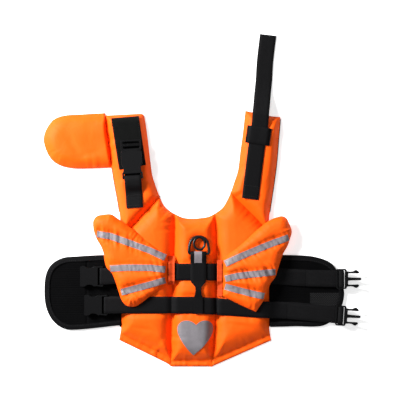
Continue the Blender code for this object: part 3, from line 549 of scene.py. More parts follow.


# creases listed one by one, in mm: from x, y to x, y; how deep (below 0 is a ridge), how wide
CREASES = [
    (-92, 126, -66, 100, 1.0, 3.0), (-62, 138, -48, 120, 1.0, 2.6),
    (100, 238, 128, 266, 2.4, 3.2), (104, 230, 129, 252, -1.4, 5.0),
    (62, 142, 76, 153, 1.2, 2.6), (80, 134, 110, 110, 1.0, 4.0),
    (-98, -50, -58, -57, 1.0, 3.5), (-64, -92, -42, -58, 1.1, 4.0), (-80, -70, -52, -84, 0.9, 3.0),
    (44, -44, 92, -52, 1.0, 3.5), (50, -94, 100, -64, 1.0, 4.0), (60, -62, 92, -78, 0.7, 3.0),
    (-24, 106, -15, 56, 0.8, 4.0), (25, 98, 19, 54, 1.0, 4.0), (-14, 92, 4, 100, 0.6, 3.0),
    (-28, -97, -4, -101, 0.8, 2.6), (-20, -38, 22, -37, 0.8, 3.0),
    (-172, 208, -190, 232, 1.1, 6.0), (-146, 250, -200, 254, 0.8, 7.0),
    (-140, 214, -176, 204, 0.9, 5.0), (-118, 208, -134, 236, 0.8, 4.0),
    (-122, 148, -108, 178, 0.8, 3.5), (-110, 238, -122, 258, 0.7, 3.5),
    (-84, 168, -76, 196, 0.8, 3.0), (70, 178, 82, 208, 0.7, 3.0), (114, 178, 106, 150, 0.9, 3.5),
    (92, 150, 112, 138, 0.8, 3.0), (-128, 232, -120, 256, 1.4, 2.6),
    (-36, -88, -30, -76, 1.6, 2.6), (-44, -86, -36, -72, -1.2, 2.6), (33, -90, 28, -78, 1.6, 2.6),
    (38, -88, 44, -74, -1.2, 2.6),
]


def hand_creases(points):
    total = np.zeros(len(points))
    for x0, y0, x1, y1, deep, wide in CREASES:
        a, b = np.array((x0, y0)) * MM, np.array((x1, y1)) * MM
        t = np.clip(((points - a) @ (b - a)) / ((b - a) @ (b - a)), 0, 1)
        gap = np.linalg.norm(points - a - t[:, None] * (b - a), axis=1)
        fade = np.sin(np.pi * np.clip(t, 0.02, 0.98)) ** 0.6
        total -= deep * MM * fade * np.exp(-(gap / (wide * MM)) ** 2)
    return total


# %% What lies on the foam, and where two cut pieces share a seam
def solid_tree(*nodes):
    """One tree of plain solids that rays can hit."""
    verts, faces = [], []
    for node in nodes:
        points, tris = merged(node)
        faces += [[len(verts) + i for i in t] for t in tris]
        verts += [Vector(p) for p in points]
    return BVHTree.FromPolygons(verts, faces)


HOLDING = solid_tree("neck_webbing_left", "neck_webbing_right", "keeper", "neck_buckle_socket",
                     "neck_buckle_prongs", "centre_strap")


def ceiling(points):
    """Lowest underside above each point and 1.5 mm round it, of what holds the foam down."""
    z = np.full(len(points), 1.0)
    for dx, dy in ((0, 0), (1.5, 0), (-1.5, 0), (0, 1.5), (0, -1.5)):
        for i, (x, y) in enumerate(points):
            hit = HOLDING.ray_cast(Vector((x + dx * MM, y + dy * MM, -0.05)), Vector((0, 0, 1)))[0]
            if hit:
                z[i] = min(z[i], hit.z)
    return z


FOAM = ["back_centre", "back_left", "back_right", "strap_left", "strap_right", "chin_flap"]
FOAM_RIMS = {node: smooth(rim(node), 3 * MM) for node in FOAM}


def reach(loop, node):
    """How far each point of an outline must move out to meet the piece it is sewn to."""
    gaps = [nearest(loop, other)[0] for name, other in FOAM_RIMS.items() if name != node]
    gap = np.min(gaps, axis=0)
    near = gap < 2.6 * MM
    near &= np.roll(near, 1) & np.roll(near, -1)      # the corners stay where they are
    return np.where(near, 0.5 * gap + 0.25 * MM, 0)


# %% Foam panel builder
PITCH = 2.2 * MM
SEAM_FLAT, HEM_FLAT, HEM_SEAM = 1.6 * MM, 9.0 * MM, 8.2 * MM
TOP_ROUND, TOP_Y = 4.5 * MM, 0.262           # small rounds at a strap's upper corners
DENT_X, DENT_Y, DENT_DEEP = 7.5 * MM, 72 * MM, 5.6 * MM     # the hollow that the ring lies in
DENT_WIDE, DENT_LONG = 17 * MM, 16 * MM
tops = []                                   # finished tops, for what is laid on them


def foam_panel(node, seed, edge, swell, width, pucker):
    """The padded piece for one foam solid."""
    def free_top(p):
        return p[1] > TOP_Y and -0.09 < p[0] < -0.06

    loop = smooth(soften_corners(rim(node), free_top, TOP_ROUND), PITCH)
    loop = loop + outward(loop) * reach(loop, node)[:, None]
    low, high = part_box(node)
    crown = high.z - low.z - edge
    middle = (loop + np.roll(loop, -1, 0)) / 2
    run = np.roll(loop, -1, 0) - loop
    out = np.stack([run[:, 1], -run[:, 0]], 1) / np.hypot(*run.T)[:, None]
    rear = (out[:, 1] < -0.6) & (middle[:, 1] < -0.066)
    under_strap = (out[:, 0] > 0.7) & (node == "chin_flap")
    flat = np.where(rear, HEM_FLAT, np.where(under_strap, 0, SEAM_FLAT))
    ease = np.where(rear, 1.5, np.where(under_strap, 0.2, 1.0))

    def top(p):
        distance, _, along, gaps = nearest(p, loop)
        depth = ((gaps - flat[None]) / ease[None]).min(1)
        pad = rounded(depth, width)
        off = belt_gap(p) if low.y < 0.05 else np.full(len(p), 1.0)
        free = np.clip(off / (9 * MM), 0, 1)
        free = free * free * (3 - 2 * free)
        z = low.z + edge + crown * pad
        z += swell * free * np.clip(depth / (1.4 * width), 0, 1) ** 0.8
        z += pucker * MM * puckers(np.clip(distance, 0, None), along, seed) * (
            0.25 + 0.75 * free)
        z += (hand_creases(p) + 1.1 * MM * wave(p, 26 * MM, seed)) * pad * free
        z += 1.2 * MM * wave(p * (1, 0.2), 7 * MM, seed + 5) * pad * np.exp(
            -np.clip(off, 0, None) / (6 * MM)) * np.clip(off / (2 * MM), 0, 1)
        if rear.any():
            hem = gaps[:, rear].min(1)
            rolls = noise_at(along, 5.5 * MM, seed * 2.3) + 0.5 * noise_at(along, 2.4 * MM, seed)
            z -= 1.0 * MM * np.exp(-((hem - HEM_SEAM) / (1.1 * MM)) ** 2)
            z += 1.5 * MM * rolls * np.exp(-np.abs(hem - HEM_SEAM - 1 * MM) / (5 * MM))
            z += 0.8 * MM * np.exp(-((hem - 3.5 * MM) / (2.6 * MM)) ** 2)
        from_ring = np.hypot((p[:, 0] - DENT_X) / DENT_WIDE, (p[:, 1] - DENT_Y) / DENT_LONG)
        z -= DENT_DEEP * np.exp(-from_ring ** 4)
        lip = np.clip(distance / (1.2 * MM), 0, 1)
        z = np.maximum(z, low.z + 1.2 * MM) - 0.9 * MM * (1 - lip) ** 2
        return np.minimum(z, ceiling(p) - 0.15 * MM)

    piece = body("pad_" + node, loop, top, lambda p: np.full(len(p), low.z),
                 lattice(loop, PITCH), nylon, soft=60)
    put(piece, "orange_nylon", node)
    tops.append(piece)
    return piece


# %% Back, straps and chin flap
PANELS = [  # node, seed, sewn edge, extra swell, rounding width, puckers
    ("back_centre", 1.0, 1.2, 3.0, 17.0, 2.4),
    ("back_left", 2.0, 1.2, 3.0, 19.0, 2.7),
    ("back_right", 3.0, 1.2, 3.0, 19.0, 2.7),
    ("strap_left", 4.0, 2.2, 0.7, 12.0, 2.0),
    ("strap_right", 5.0, 2.2, 0.7, 12.0, 2.0),
    ("chin_flap", 6.0, 3.0, 0.8, 19.0, 1.6),
]
for node, seed, edge, swell, width, pucker in PANELS:
    foam_panel(node, seed, edge * MM, swell * MM, width * MM, pucker)


# %% Finding the surface under a piece that is laid on
def surface(pieces):
    """A tree of finished pieces that a ray from above can hit."""
    verts, faces = [], []
    for piece in pieces:
        start = len(verts)
        verts += [v.co.copy() for v in piece.data.vertices]
        faces += [[start + i for i in p.vertices] for p in piece.data.polygons]
    return BVHTree.FromPolygons(verts, faces)


def drop(tree, points, otherwise=0.0):
    """Height of the surface below each point."""
    z = []
    for p in points:
        hit = tree.ray_cast(Vector((p[0], p[1], 0.2)), Vector((0, 0, -1)))[0]
        z.append(hit.z if hit else otherwise)
    return np.array(z)


back = surface(tops)

# %% [markdown]
# ## Lining
# Under the foam lies one thin black cloth. It shows as a dark line along the straps and is all
# that shows from below, where it is quilted by the seams above it.

# %% Lining
LININGS = ("lining_back", "lining_strap_left", "lining_strap_right")
LET_OUT, MEET, SHOW, TUCK = 3.0 * MM, 0.5 * MM, 0.3 * MM, -1.2 * MM


def lining_outline(node):
    """The lining's outline: tucked in at the neck and ends, let out beside the belly panels."""
    loop = smooth(soften_corners(rim(node), lambda p: p[1] > TOP_Y, TOP_ROUND), PITCH * 1.5)
    out = outward(loop)
    x, y = loop[:, 0], loop[:, 1]
    beside = (np.abs(x) > 0.09) & (y < 0.055) & (y > -0.052)
    shown = (np.abs(x) > 0.09) & (y > 0.12) & (out[:, 1] < 0.6)
    seam = [nearest(loop, smooth(rim(other), 3 * MM))[0] < 1.3 * MM
            for other in LININGS if other != node]
    shift = np.where(beside, LET_OUT, np.where(np.any(seam, axis=0), MEET,
                                               np.where(shown, SHOW, TUCK)))
    return loop + out * shift[:, None]


for node in LININGS:
    low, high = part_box(node)
    loop = lining_outline(node)
    piece = body("cloth_" + node, loop, lambda p: np.full(len(p), high.z),
                 lambda p: np.full(len(p), low.z), lattice(loop, PITCH * 3), lining_cloth)
    put(piece, "black_lining", node)
    on_table(piece, loop)

# %% [markdown]
# ## Belly panels
# The panels that close under the dog's belly are black cloth with sewn ribs across, bound with
# folded tape. The ribs repeat, so a small geometry tree makes them: it lifts each point of the
# panel by a rounded wave across its ribs.


# %% Geometry tree for ribs
def rib_tree():
    tree = bpy.data.node_groups.new("Sewn ribs", "GeometryNodeTree")
    face = tree.interface
    face.new_socket("Geometry", in_out="INPUT", socket_type="NodeSocketGeometry")
    for label, value in (("Pitch", 3.4 * MM), ("Depth", 0.6 * MM), ("Lowest", 2.5 * MM)):
        face.new_socket(label, in_out="INPUT", socket_type=FLOAT).default_value = value
    face.new_socket("Material", in_out="INPUT", socket_type="NodeSocketMaterial")
    face.new_socket("Geometry", in_out="OUTPUT", socket_type="NodeSocketGeometry")
    given, made = tree.nodes.new("NodeGroupInput"), tree.nodes.new("NodeGroupOutput")
    x, y, z = split(tree, tree.nodes.new("GeometryNodeInputPosition").outputs[0])
    phase = calc(tree, "DIVIDE", calc(tree, "MULTIPLY", y, math.pi), given.outputs["Pitch"])
    ridge = calc(tree, "POWER", calc(tree, "ABSOLUTE", calc(tree, "SINE", phase)), 0.6)
    up = calc(tree, "GREATER_THAN", z, given.outputs["Lowest"])
    lift = calc(tree, "MULTIPLY", calc(tree, "MULTIPLY", ridge, given.outputs["Depth"]), up)
    offset = tree.nodes.new("ShaderNodeCombineXYZ")
    tree.links.new(lift, offset.inputs[2])
    move = tree.nodes.new("GeometryNodeSetPosition")
    tree.links.new(given.outputs["Geometry"], move.inputs["Geometry"])
    tree.links.new(offset.outputs[0], move.inputs["Offset"])
    real = tree.nodes.new("GeometryNodeRealizeInstances")
    tree.links.new(move.outputs[0], real.inputs[0])
    paint = tree.nodes.new("GeometryNodeSetMaterial")
    tree.links.new(real.outputs[0], paint.inputs["Geometry"])
    tree.links.new(given.outputs["Material"], paint.inputs["Material"])
    tree.links.new(paint.outputs[0], made.inputs[0])
    return tree


def run_tree(piece, tree, values):
    """Apply a geometry tree to a piece and leave a plain mesh."""
    step = piece.modifiers.new("tree", "NODES")
    step.node_group = tree
    for socket in tree.interface.items_tree:
        if socket.in_out == "INPUT" and socket.name in values:
            step[socket.identifier] = values[socket.name]
    graph = bpy.context.evaluated_depsgraph_get()
    mesh = bpy.data.meshes.new_from_object(piece.evaluated_get(graph))
    piece.modifiers.clear()
    piece.data = mesh
    return piece


sewn_ribs = rib_tree()

# %% Belly panels
SEAM_X = -162.0 * MM                         # a seam runs down the left panel here
NET_X, NET_TOP = 174.0 * MM, 0.0             # a window of open net beyond x and below y
belly_tops = []
for side, pitch, depth in (("left", 3.4, 0.5), ("right", 4.2, 0.4)):
    node = "belly_panel_" + side
    low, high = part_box(node)
    loop = smooth(rim(node), 1.6 * MM)

    def top(p, high=high, loop=loop):
        distance = nearest(p, loop)[0]
        z = high.z - 0.5 * MM + 0.5 * MM * wave(p, 24 * MM, 8.0) * np.clip(
            distance / (10 * MM), 0, 1)
        return z - 0.9 * MM * np.exp(-((p[:, 0] - SEAM_X) / (1.3 * MM)) ** 2)

    piece = body("cloth_" + node, loop, top, lambda p: np.full(len(p), low.z),
                 lattice(loop, 1.2 * MM), mesh_cloth)
    run_tree(piece, sewn_ribs, {"Pitch": pitch * MM, "Depth": depth * MM,
                                "Lowest": 2.0 * MM, "Material": mesh_cloth})
    piece.data.materials.append(net_cloth)
    for polygon in piece.data.polygons:
        x, y, z = polygon.center
        polygon.material_index = int(x > NET_X and y < NET_TOP and z > low.z + 1 * MM)
    put(piece, "black_mesh", node)
    on_table(piece, loop)
    belly_tops.append(piece)

# %% [markdown]
# ## Binding
# A binding is one strip folded in half over the raw edge and sewn through. Its section is a
# rounded hairpin, carried along the panel's outline from the jacket's side round to the other.


# %% Swept sections
def sweep(name, rows, finish, closed_path=False, uv=None, soft=50):
    """A closed body through rows, each an equal-length ring of points."""
    count, around = len(rows), len(rows[0])
    verts = [p for row in rows for p in row]
    faces = []
    for i in range(count if closed_path else count - 1):
        a, b = i * around, ((i + 1) % count) * around
        faces += [[a + k, a + (k + 1) % around, b + (k + 1) % around, b + k]
                  for k in range(around)]
    if not closed_path:
        faces += [list(range(around))[::-1], [(count - 1) * around + k for k in range(around)]]
    piece = mesh_piece(name, verts, faces, finish, soft)
    if uv is not None:
        layer = piece.data.uv_layers.new(name="UVMap")
        for polygon in piece.data.polygons:
            for loop_index, vertex in zip(polygon.loop_indices, polygon.vertices):
                layer.data[loop_index].uv = uv(vertex // around, vertex % around)
    return piece


def hairpin(width, inner, wall, arc=5):
    """Section of a folded strip: distance in from the edge, height; open towards the panel."""
    outer, half = inner + 2 * wall, (inner + 2 * wall) / 2
    pts = [(width, 0.0)]
    for k in range(arc + 1):
        a = -math.pi / 2 - math.pi * k / arc
        pts.append((half * 0.8 + half * 0.8 * math.cos(a), half + half * math.sin(a)))
    pts.append((width, outer))
    pts.append((width, outer - wall))
    for k in range(arc + 1):
        a = math.pi / 2 + math.pi * k / arc
        pts.append((half * 0.8 + (half * 0.8 - wall) * math.cos(a),
                    half + (half - wall) * math.sin(a)))
    pts.append((width, wall))
    return pts


def stitched_edge(loop, inner_x):
    """The open run of a loop that leaves out its straight side at inner_x."""
    away = np.abs(loop[:, 0] - inner_x) > 0.6 * MM
    start = next(i for i in range(len(loop)) if away[i] and not away[i - 1])
    order = [(start - 1 + k) % len(loop) for k in range(len(loop) + 1)]
    run = [loop[order[0]]]
    for i in order[1:]:
        run.append(loop[i])
        if not away[i]:
            break
    return np.array(run)


# %% Bindings round the belly panels
binding_lines = []
for side in ("left", "right"):
    node = "belly_binding_" + side
    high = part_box(node)[1]
    panel_low, panel_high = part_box("belly_panel_" + side)
    core = smooth(rim("belly_panel_" + side), 2.2 * MM)
    run = stitched_edge(core, panel_high.x if side == "left" else panel_low.x)
    tangent = np.gradient(run, axis=0)
    tangent /= np.hypot(*tangent.T)[:, None]
    inward = np.stack([-tangent[:, 1], tangent[:, 0]], 1)
    for end in (0, -1):                      # the ends are cut square to the jacket's side
        inward[end] = (0.0, math.copysign(1, tangent[end, 0]))
    section = hairpin(8.0 * MM, high.z - 1.6 * MM, 0.8 * MM)
    edge = run - inward * 1.1 * MM
    wobble = [0.25 * MM * noise.noise(Vector((i * 0.35, 3.0, 0))) for i in range(len(edge))]
    rows = [[(*(p + n * (d + (w if d > 5 * MM else 0))), z) for d, z in section]
            for p, n, w in zip(edge, inward, wobble)]
    piece = sweep("strip_" + node, rows, binding_tape)
    put(piece, "black_binding", node)
    binding_lines.append([(*(p + n * 6.2 * MM), high.z) for p, n in zip(edge, inward)])

# %% [markdown]
# ## Webbing
# Webbing is a band with rounded edges. Each run is read from its solid as rows, smoothed into a
# curve, and given a coordinate along and across its length so its weave follows every fold.


# %% Webbing builder
def resample(rows, step):
    """Rows of a ribbon, evened out along a smooth curve."""
    middle = np.array([r[0] for r in rows])
    side = np.array([r[1] for r in rows])
    for i in range(1, len(side)):
        if side[i] @ side[i - 1] < 0:
            side[i] *= -1
    width = np.array([r[2] for r in rows])
    length = np.linalg.norm(np.diff(middle, axis=0), axis=1)
    tangent = np.gradient(middle, axis=0)
    tangent /= np.linalg.norm(tangent, axis=1)[:, None]
    out = []
    for i, run in enumerate(length):
        count = max(1, round(run / step))
        leave, arrive = tangent[i] * run, tangent[i + 1] * run
        for k in range(count + (i == len(length) - 1)):
            t = k / count
            p = (middle[i] * (2 * t**3 - 3 * t**2 + 1) + leave * (t**3 - 2 * t**2 + t)
                 + middle[i + 1] * (3 * t**2 - 2 * t**3) + arrive * (t**3 - t**2))
            out.append((p, side[i] * (1 - t) + side[i + 1] * t,
                        width[i] * (1 - t) + width[i + 1] * t))
    return out


def band_section(width, thick):
    """Rounded band: offsets across and up, and whether each is on the upper face."""
    half, r = width / 2, thick / 2
    fractions = [-1, -0.96, -0.6, -0.2, 0.2, 0.6, 0.96, 1]
    upper = [(f * half, r * (0.45 if abs(f) == 1 else 1.0)) for f in fractions]
    return upper + [(u, -v) for u, v in upper[::-1]]


def webbing(node, finish=None, slot="black_webbing", step=1.6 * MM, wobble=0.12 * MM):
    """The finished webbing for one ribbon solid."""
    rows = resample(ribbon_rows(node), step)
    thick = ribbon_rows(node)[0][3]
    middle = np.array([r[0] for r in rows])
    tangent = np.gradient(middle, axis=0)
    tangent /= np.linalg.norm(tangent, axis=1)[:, None]
    travelled = np.concatenate([[0], np.cumsum(np.linalg.norm(np.diff(middle, axis=0), axis=1))])
    rings = []
    for i, (p, side, width) in enumerate(rows):
        side = side / np.linalg.norm(side)
        up = np.cross(tangent[i], side)
        up /= np.linalg.norm(up)
        if i == 0 and up[2] < 0:
            flip = -1
        elif i == 0:
            flip = 1
        up *= flip
        sway = wobble * noise.noise(Vector((travelled[i] * 60, len(node), 2)))
        ring = [p + side * u + up * (v + sway) for u, v in band_section(width, thick)]
        rings.append([(q[0], q[1], max(q[2], 0.0)) for q in ring])
    section = band_section(rows[0][2], thick)

    def uv(row, k):
        return (section[k][0] + 0.05, travelled[row])

    piece = sweep("web_" + node, rings, finish or webbing_cloth, uv=uv)
    put(piece, slot, node)
    print(node, round(travelled[-1] / MM), "mm long")
    return piece


# %% Belts, neck webbing, keeper and centre strap
WEBS = ["belt_upper", "belt_lower", "centre_strap", "neck_webbing_left", "neck_webbing_right",
        "keeper"]
for node in WEBS:
    webbing(node)

# %% [markdown]
# ## Wings
# The wings are foam too, but thinner, and sewn into the seams beside the centre panel by a flat
# edge. Each lies over its side panel and both belts. The reflective tapes are sewn through, so
# the foam is drawn down along each of them.

# %% Tape middle lines
TAPE_NODES = ["tape_left_upper", "tape_left_middle", "tape_left_lower",
              "tape_right_upper", "tape_right_middle", "tape_right_lower"]


def tape_spine(node):
    """Middle line of a tape, from its outline's two long sides."""
    loop = smooth(rim(node), 2.0 * MM)
    centre = loop - loop.mean(0)
    axis = np.linalg.svd(centre, full_matrices=False)[2][0]
    place = centre @ axis
    bins = np.linspace(place.min() + 2 * MM, place.max() - 2 * MM, 14)
    normal = np.array((-axis[1], axis[0]))
    trend = np.polyfit(place, centre @ normal, 3)
    return np.array([loop.mean(0) + axis * value + normal * np.polyval(trend, value)
                     for value in bins])


SPINES = {node: tape_spine(node) for node in TAPE_NODES}


def line_gap(points, line):
    """Distance from each point to an open line."""
    best = np.full(len(points), 9.0)
    for a, b in zip(line[:-1], line[1:]):
        t = np.clip(((points - a) @ (b - a)) / ((b - a) @ (b - a)), 0, 1)
        best = np.minimum(best, np.linalg.norm(points - a - t[:, None] * (b - a), axis=1))
    return best


# %% Wings
def rise(tree, points):
    """Height of a solid's underside above each point."""
    z = []
    for p in points:
        spot = Vector((p[0], p[1], -0.05))
        hit = tree.ray_cast(spot, Vector((0, 0, 1)))[0]
        if hit is None:
            near = tree.find_nearest(Vector((p[0], p[1], 0.0)))[0]
            hit = near
        z.append(hit.z)
    return np.array(z)


WING_PITCH = 1.5 * MM
TAPE_HALF = 4.8 * MM


def gathers(p, spines, seed):
    """Folds across each sewn tape, strongest on it and dying out to either side."""
    total = np.zeros(len(p))
    for k, spine in enumerate(spines):
        axis = (spine[-1] - spine[0]) / np.hypot(*(spine[-1] - spine[0]))
        place = (p - spine[0]) @ axis
        side = (p - spine[0]) @ np.array((-axis[1], axis[0]))
        lean = place + 0.35 * side + 1.5 * MM * noise_at(side, 9 * MM, seed + k)
        fold = noise_at(lean, 4.6 * MM, seed + 4 * k) + 0.5 * noise_at(lean, 11 * MM, seed + 3)
        strength = np.clip(0.8 + 1.1 * noise_at(place, 30 * MM, seed + 2 * k), 0.25, 1.6)
        gap = np.clip(line_gap(p, spine) - TAPE_HALF, 0, None)
        total += fold * strength * (0.75 * np.exp(-gap / (5.5 * MM))
                                    + 0.45 * (gap > 0) * np.exp(-gap / (3 * MM)))
    return total


wing_tops = []
for side, seed in (("left", 11.0), ("right", 12.0)):
    node = "wing_" + side
    tree = solid_tree(node)
    loop = smooth(rim(node), WING_PITCH)
    spines = [SPINES[n] for n in TAPE_NODES if side in n]
    inner = max(loop[:, 0]) if side == "left" else min(loop[:, 0])

    def top(p):
        distance, _, along, _ = nearest(p, loop)
        pad = rounded(distance - 0.8 * MM, 10.0 * MM)
        z = rise(tree, p) + 2.2 * MM + 5.2 * MM * pad
        gap = np.min([line_gap(p, spine) for spine in spines], axis=0) - TAPE_HALF
        puffed = 1 - np.exp(-(np.clip(gap, 0, None) / (5.5 * MM)) ** 2)
        z += 3.2 * MM * puffed * np.clip(distance / (15 * MM), 0, 1)
        z += 2.4 * MM * puckers(np.clip(distance - 0.8 * MM, 0, None), along, seed)
        z += 2.3 * MM * gathers(p, spines, seed) * np.clip(distance / (4 * MM), 0, 1)
        z += 1.0 * MM * wave(p, 22 * MM, seed) * pad
        z -= 1.6 * MM * np.exp(-((np.abs(p[:, 0] - inner)) / (5 * MM)) ** 2)
        lip = np.clip(distance / (1.4 * MM), 0, 1)
        return np.maximum(z, rise(tree, p) + 1.0 * MM) - 0.9 * MM * (1 - lip) ** 2

    piece = body("pad_" + node, loop, top, lambda p: rise(tree, p), lattice(loop, WING_PITCH),
                 nylon, flat_under=False, soft=60)
    put(piece, "orange_nylon", node)
    wing_tops.append(piece)
wings = surface(wing_tops)


# %% [markdown]
# ## Pieces sewn on top
# The tapes, the heart and the hook-and-loop patch are flat strips sewn to a padded piece. They
# could be flat plates, but they would cut through the padding. Each takes its height from the
# finished piece under it, and from a little round about, so it follows every gather and clears it.


def laid(node, tree, finish, slot, thick, lift, pitch, ripple=None, name="cloth_"):
    """A thin piece for a solid, carried on the finished surface below it."""
    loop = smooth(rim(node), pitch)
    inner = lattice(loop, pitch)
    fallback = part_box(node)[0].z

    def level(p):
        spread = [drop(tree, p + np.array(d) * 0.8 * MM, -1) for d in
                  ((0, 0), (1, 0), (-1, 0), (0, 1), (0, -1))]
        z = np.max(spread, axis=0)
        z = np.where(z < fallback - 6 * MM, fallback, z) + lift
        return z + (ripple(p) if ripple else 0)

    piece = body(name + node, loop, lambda p: level(p) + thick, level, inner, finish,
                 flat_under=False)
    put(piece, slot, node)
    # the area of the outline in plan is worked out and not kept
    area_of(loop)
    return piece, loop


# %% Reflective tapes
FINE = 1.2 * MM
tape_loops = {}
for k, node in enumerate(TAPE_NODES):
    def ripple(p):
        """Small bright creases of the film on top of the gathers it is sewn to."""
        fine = wave(p @ np.array(((1.0, 0.0), (0.25, 0.4))), 3.0 * MM, 2.3 * k)
        return 0.55 * MM * fine

    piece, loop = laid(node, wings, reflective, "reflective_tape", 0.35 * MM, 0.35 * MM,
                       FINE, ripple)
    tape_loops[node] = loop

# %% Heart and hook-and-loop patch
heart_loop = laid("heart", back, heart_film, "reflective_tape", 0.4 * MM, 0.25 * MM,
                  FINE)[1]
patch, patch_loop = laid("hook_loop_patch", back, loop_pile, "hook_and_loop", 1.1 * MM,
                         0.2 * MM, FINE * 1.3)

# %% [markdown]
# ## Wing tabs
# A wing ends in a flat tab that is caught in the back's seam. It is two layers of nylon without
# foam, so it has a ridge along the seam and small creases across it. Its darker orange is painted
# shade from the wing beside it.

# %% Wing tabs
for side in ("left", "right"):
    node = "wing_tab_" + side
    tree = solid_tree(node)
    loop = smooth(rim(node), FINE)
    edge_x = max(loop[:, 0]) if side == "left" else min(loop[:, 0])

    def top(p):
        seam = np.abs(p[:, 0] - edge_x)
        z = rise(tree, p) + 1.1 * MM + 0.9 * MM * np.exp(-((seam - 1.2 * MM) / (1.0 * MM)) ** 2)
        return z + 0.9 * MM * noise_at(p[:, 1] + 0.3 * p[:, 0], 4.2 * MM, 3.3)

    # The tab's darker orange finish is painted shade from the wing beside it.
    piece = body("cloth_" + node, loop, lambda p: np.maximum(top(p), rise(tree, p) + 0.5 * MM),
                 lambda p: rise(tree, p), lattice(loop, FINE), tab_nylon_painted_shade, flat_under=False)
    put(piece, "orange_nylon", node)

# %% [markdown]
# ## Centre tape
# A short reflective strip is sewn to the centre strap where it folds over the ring's bar. It is
# swept along the strap's own rows, so it bends with the fold.

# %% Centre tape
strap = ribbon_rows("centre_strap")
_, bar_y, bar_z = frame["joints"][0]["pos_m"]
path = sorted((tuple(row[0]) for row in strap if row[0][1] > 44 * MM
               and row[0][2] > bar_z + (0.4 * MM if row[0][1] > bar_y else -2 * MM)),
              key=lambda p: p[1])
path = np.array(path)
print("tape on the centre strap", (path[:, 1:] / MM).round(1).tolist())
run = np.gradient(path, axis=0)
run /= np.linalg.norm(run, axis=1)[:, None]
rings = []
for p, d in zip(path, run):
    up = np.array((0, -d[2], d[1]))
    centre = p + up * 1.05 * MM - np.array((0.4 * MM, 0, 0))
    rings.append([tuple(centre + np.array((u * 5.7 * MM, 0, 0)) + up * v * 0.18 * MM)
                  for u, v in ((-1, 1), (-0.3, 1), (0.3, 1), (1, 1), (1, -1), (-1, -1))])
glint = put(sweep("film_centre_tape", rings, reflective), "reflective_tape", "centre_tape")

# %% [markdown]
# ## Buckles
# The buckles are moulded in one colour. Each starts as a copy of its solid with doubles merged and
# flat faces joined, then every edge is rounded, as a mould needs, and small mouldings are added.


# %% Moulded parts
def bevelled(piece, radius, angle=30):
    """Round the edges of a piece and keep its flats flat; leaves a plain mesh."""
    edge = piece.modifiers.new("rounded edges", "BEVEL")
    edge.width, edge.segments, edge.limit_method = radius, 2, "ANGLE"
    edge.angle_limit = math.radians(angle)
    flats = piece.modifiers.new("flats", "WEIGHTED_NORMAL")
    flats.weight = 90
    graph = bpy.context.evaluated_depsgraph_get()
    mesh = bpy.data.meshes.new_from_object(piece.evaluated_get(graph))
    piece.modifiers.clear()
    piece.data = mesh
    return piece


def moulded(node, radius=0.6 * MM):
    """A plastic solid with its flat faces joined and its edges rounded."""
    mesh = frame["nodes"][node].data.copy()
    form = bmesh.new()
    form.from_mesh(mesh)
    bmesh.ops.remove_doubles(form, verts=form.verts, dist=1e-6)
    bmesh.ops.dissolve_limit(form, angle_limit=math.radians(2), verts=form.verts,
                             edges=form.edges)
    bmesh.ops.recalc_face_normals(form, faces=form.faces)
    form.to_mesh(mesh)
    form.free()
    mesh.shade_smooth()
    piece = bpy.data.objects.new("moulding_" + node, mesh)
    bpy.context.scene.collection.objects.link(piece)
    mesh.materials.clear()
    mesh.materials.append(plastic)
    return bevelled(piece, radius)


def block(name, centre, half, turn=0.0, finish=None, radius=0.25 * MM):
    """A small rounded block, turned about Z."""
    c, s = math.cos(turn), math.sin(turn)
    verts = []
    for x, y, z in ((a, b, d) for a in (-1, 1) for b in (-1, 1) for d in (-1, 1)):
        u, v = x * half[0], y * half[1]
        verts.append((centre[0] + c * u - s * v, centre[1] + s * u + c * v,
                      centre[2] + z * half[2]))
    faces = [(0, 1, 3, 2), (4, 6, 7, 5), (0, 4, 5, 1), (2, 3, 7, 6), (0, 2, 6, 4), (1, 5, 7, 3)]
    return bevelled(mesh_piece(name, verts, faces, finish or plastic), radius)


BUCKLES = ["buckle_socket_upper", "buckle_socket_lower", "neck_buckle_socket",
           "buckle_prongs_upper", "buckle_prongs_lower", "neck_buckle_prongs"]
for node in BUCKLES:
    put(moulded(node), "black_plastic", node)

# %% Teeth that grip the webbing on the neck buckle's middle bar
NECK_END, NECK_TURN = (-95.6 * MM, 229.0 * MM), math.radians(-86.4)
TEETH, BAR_AT, SLOT_AT = 11, 7.3 * MM, 51.2 * MM      # how many, and how far along the buckle
top_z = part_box("neck_buckle_prongs")[1].z
d = np.array((math.cos(NECK_TURN), math.sin(NECK_TURN)))
across = np.array((-d[1], d[0]))
for k in range(TEETH):
    spot = np.array(NECK_END) + d * BAR_AT + across * (k - TEETH // 2) * 2.2 * MM
    put(block(f"tooth_{k}", (*spot, top_z + 0.2 * MM), (2.4 * MM, 0.5 * MM, 0.6 * MM), NECK_TURN,
              radius=0.2 * MM), "black_plastic")

# %% Webbing's second turn, which fills the slot beside the neck buckle's end bar
spot = np.array(NECK_END) + d * SLOT_AT
put(block("web_neck_turn", (*spot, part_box("neck_buckle_socket")[0].z + 1.4 * MM),
          (2.0 * MM, 11.9 * MM, 0.6 * MM), NECK_TURN, webbing_cloth), "black_webbing")

# %% [markdown]
# ## Ring
# The ring is bent bar with a round eye inside its arch. Its straight side lies in the fold of the
# centre strap, so it swings.


# %% Ring from round bar
def bar(path, radii, sides=14):
    """Rings of points round a closed path that lies in one plane."""
    path = np.array(path)
    n = len(path)
    normal = np.cross(path[n // 4] - path[0], path[n // 2] - path[0])
    normal /= np.linalg.norm(normal)
    rows = []
    for i in range(n):
        run = path[(i + 1) % n] - path[i - 1]
        out = np.cross(run / np.linalg.norm(run), normal)
        rows.append([tuple(path[i] + radii[i] * (math.cos(a) * out + math.sin(a) * normal))
                     for a in np.linspace(0, 2 * math.pi, sides, endpoint=False)])
    return rows


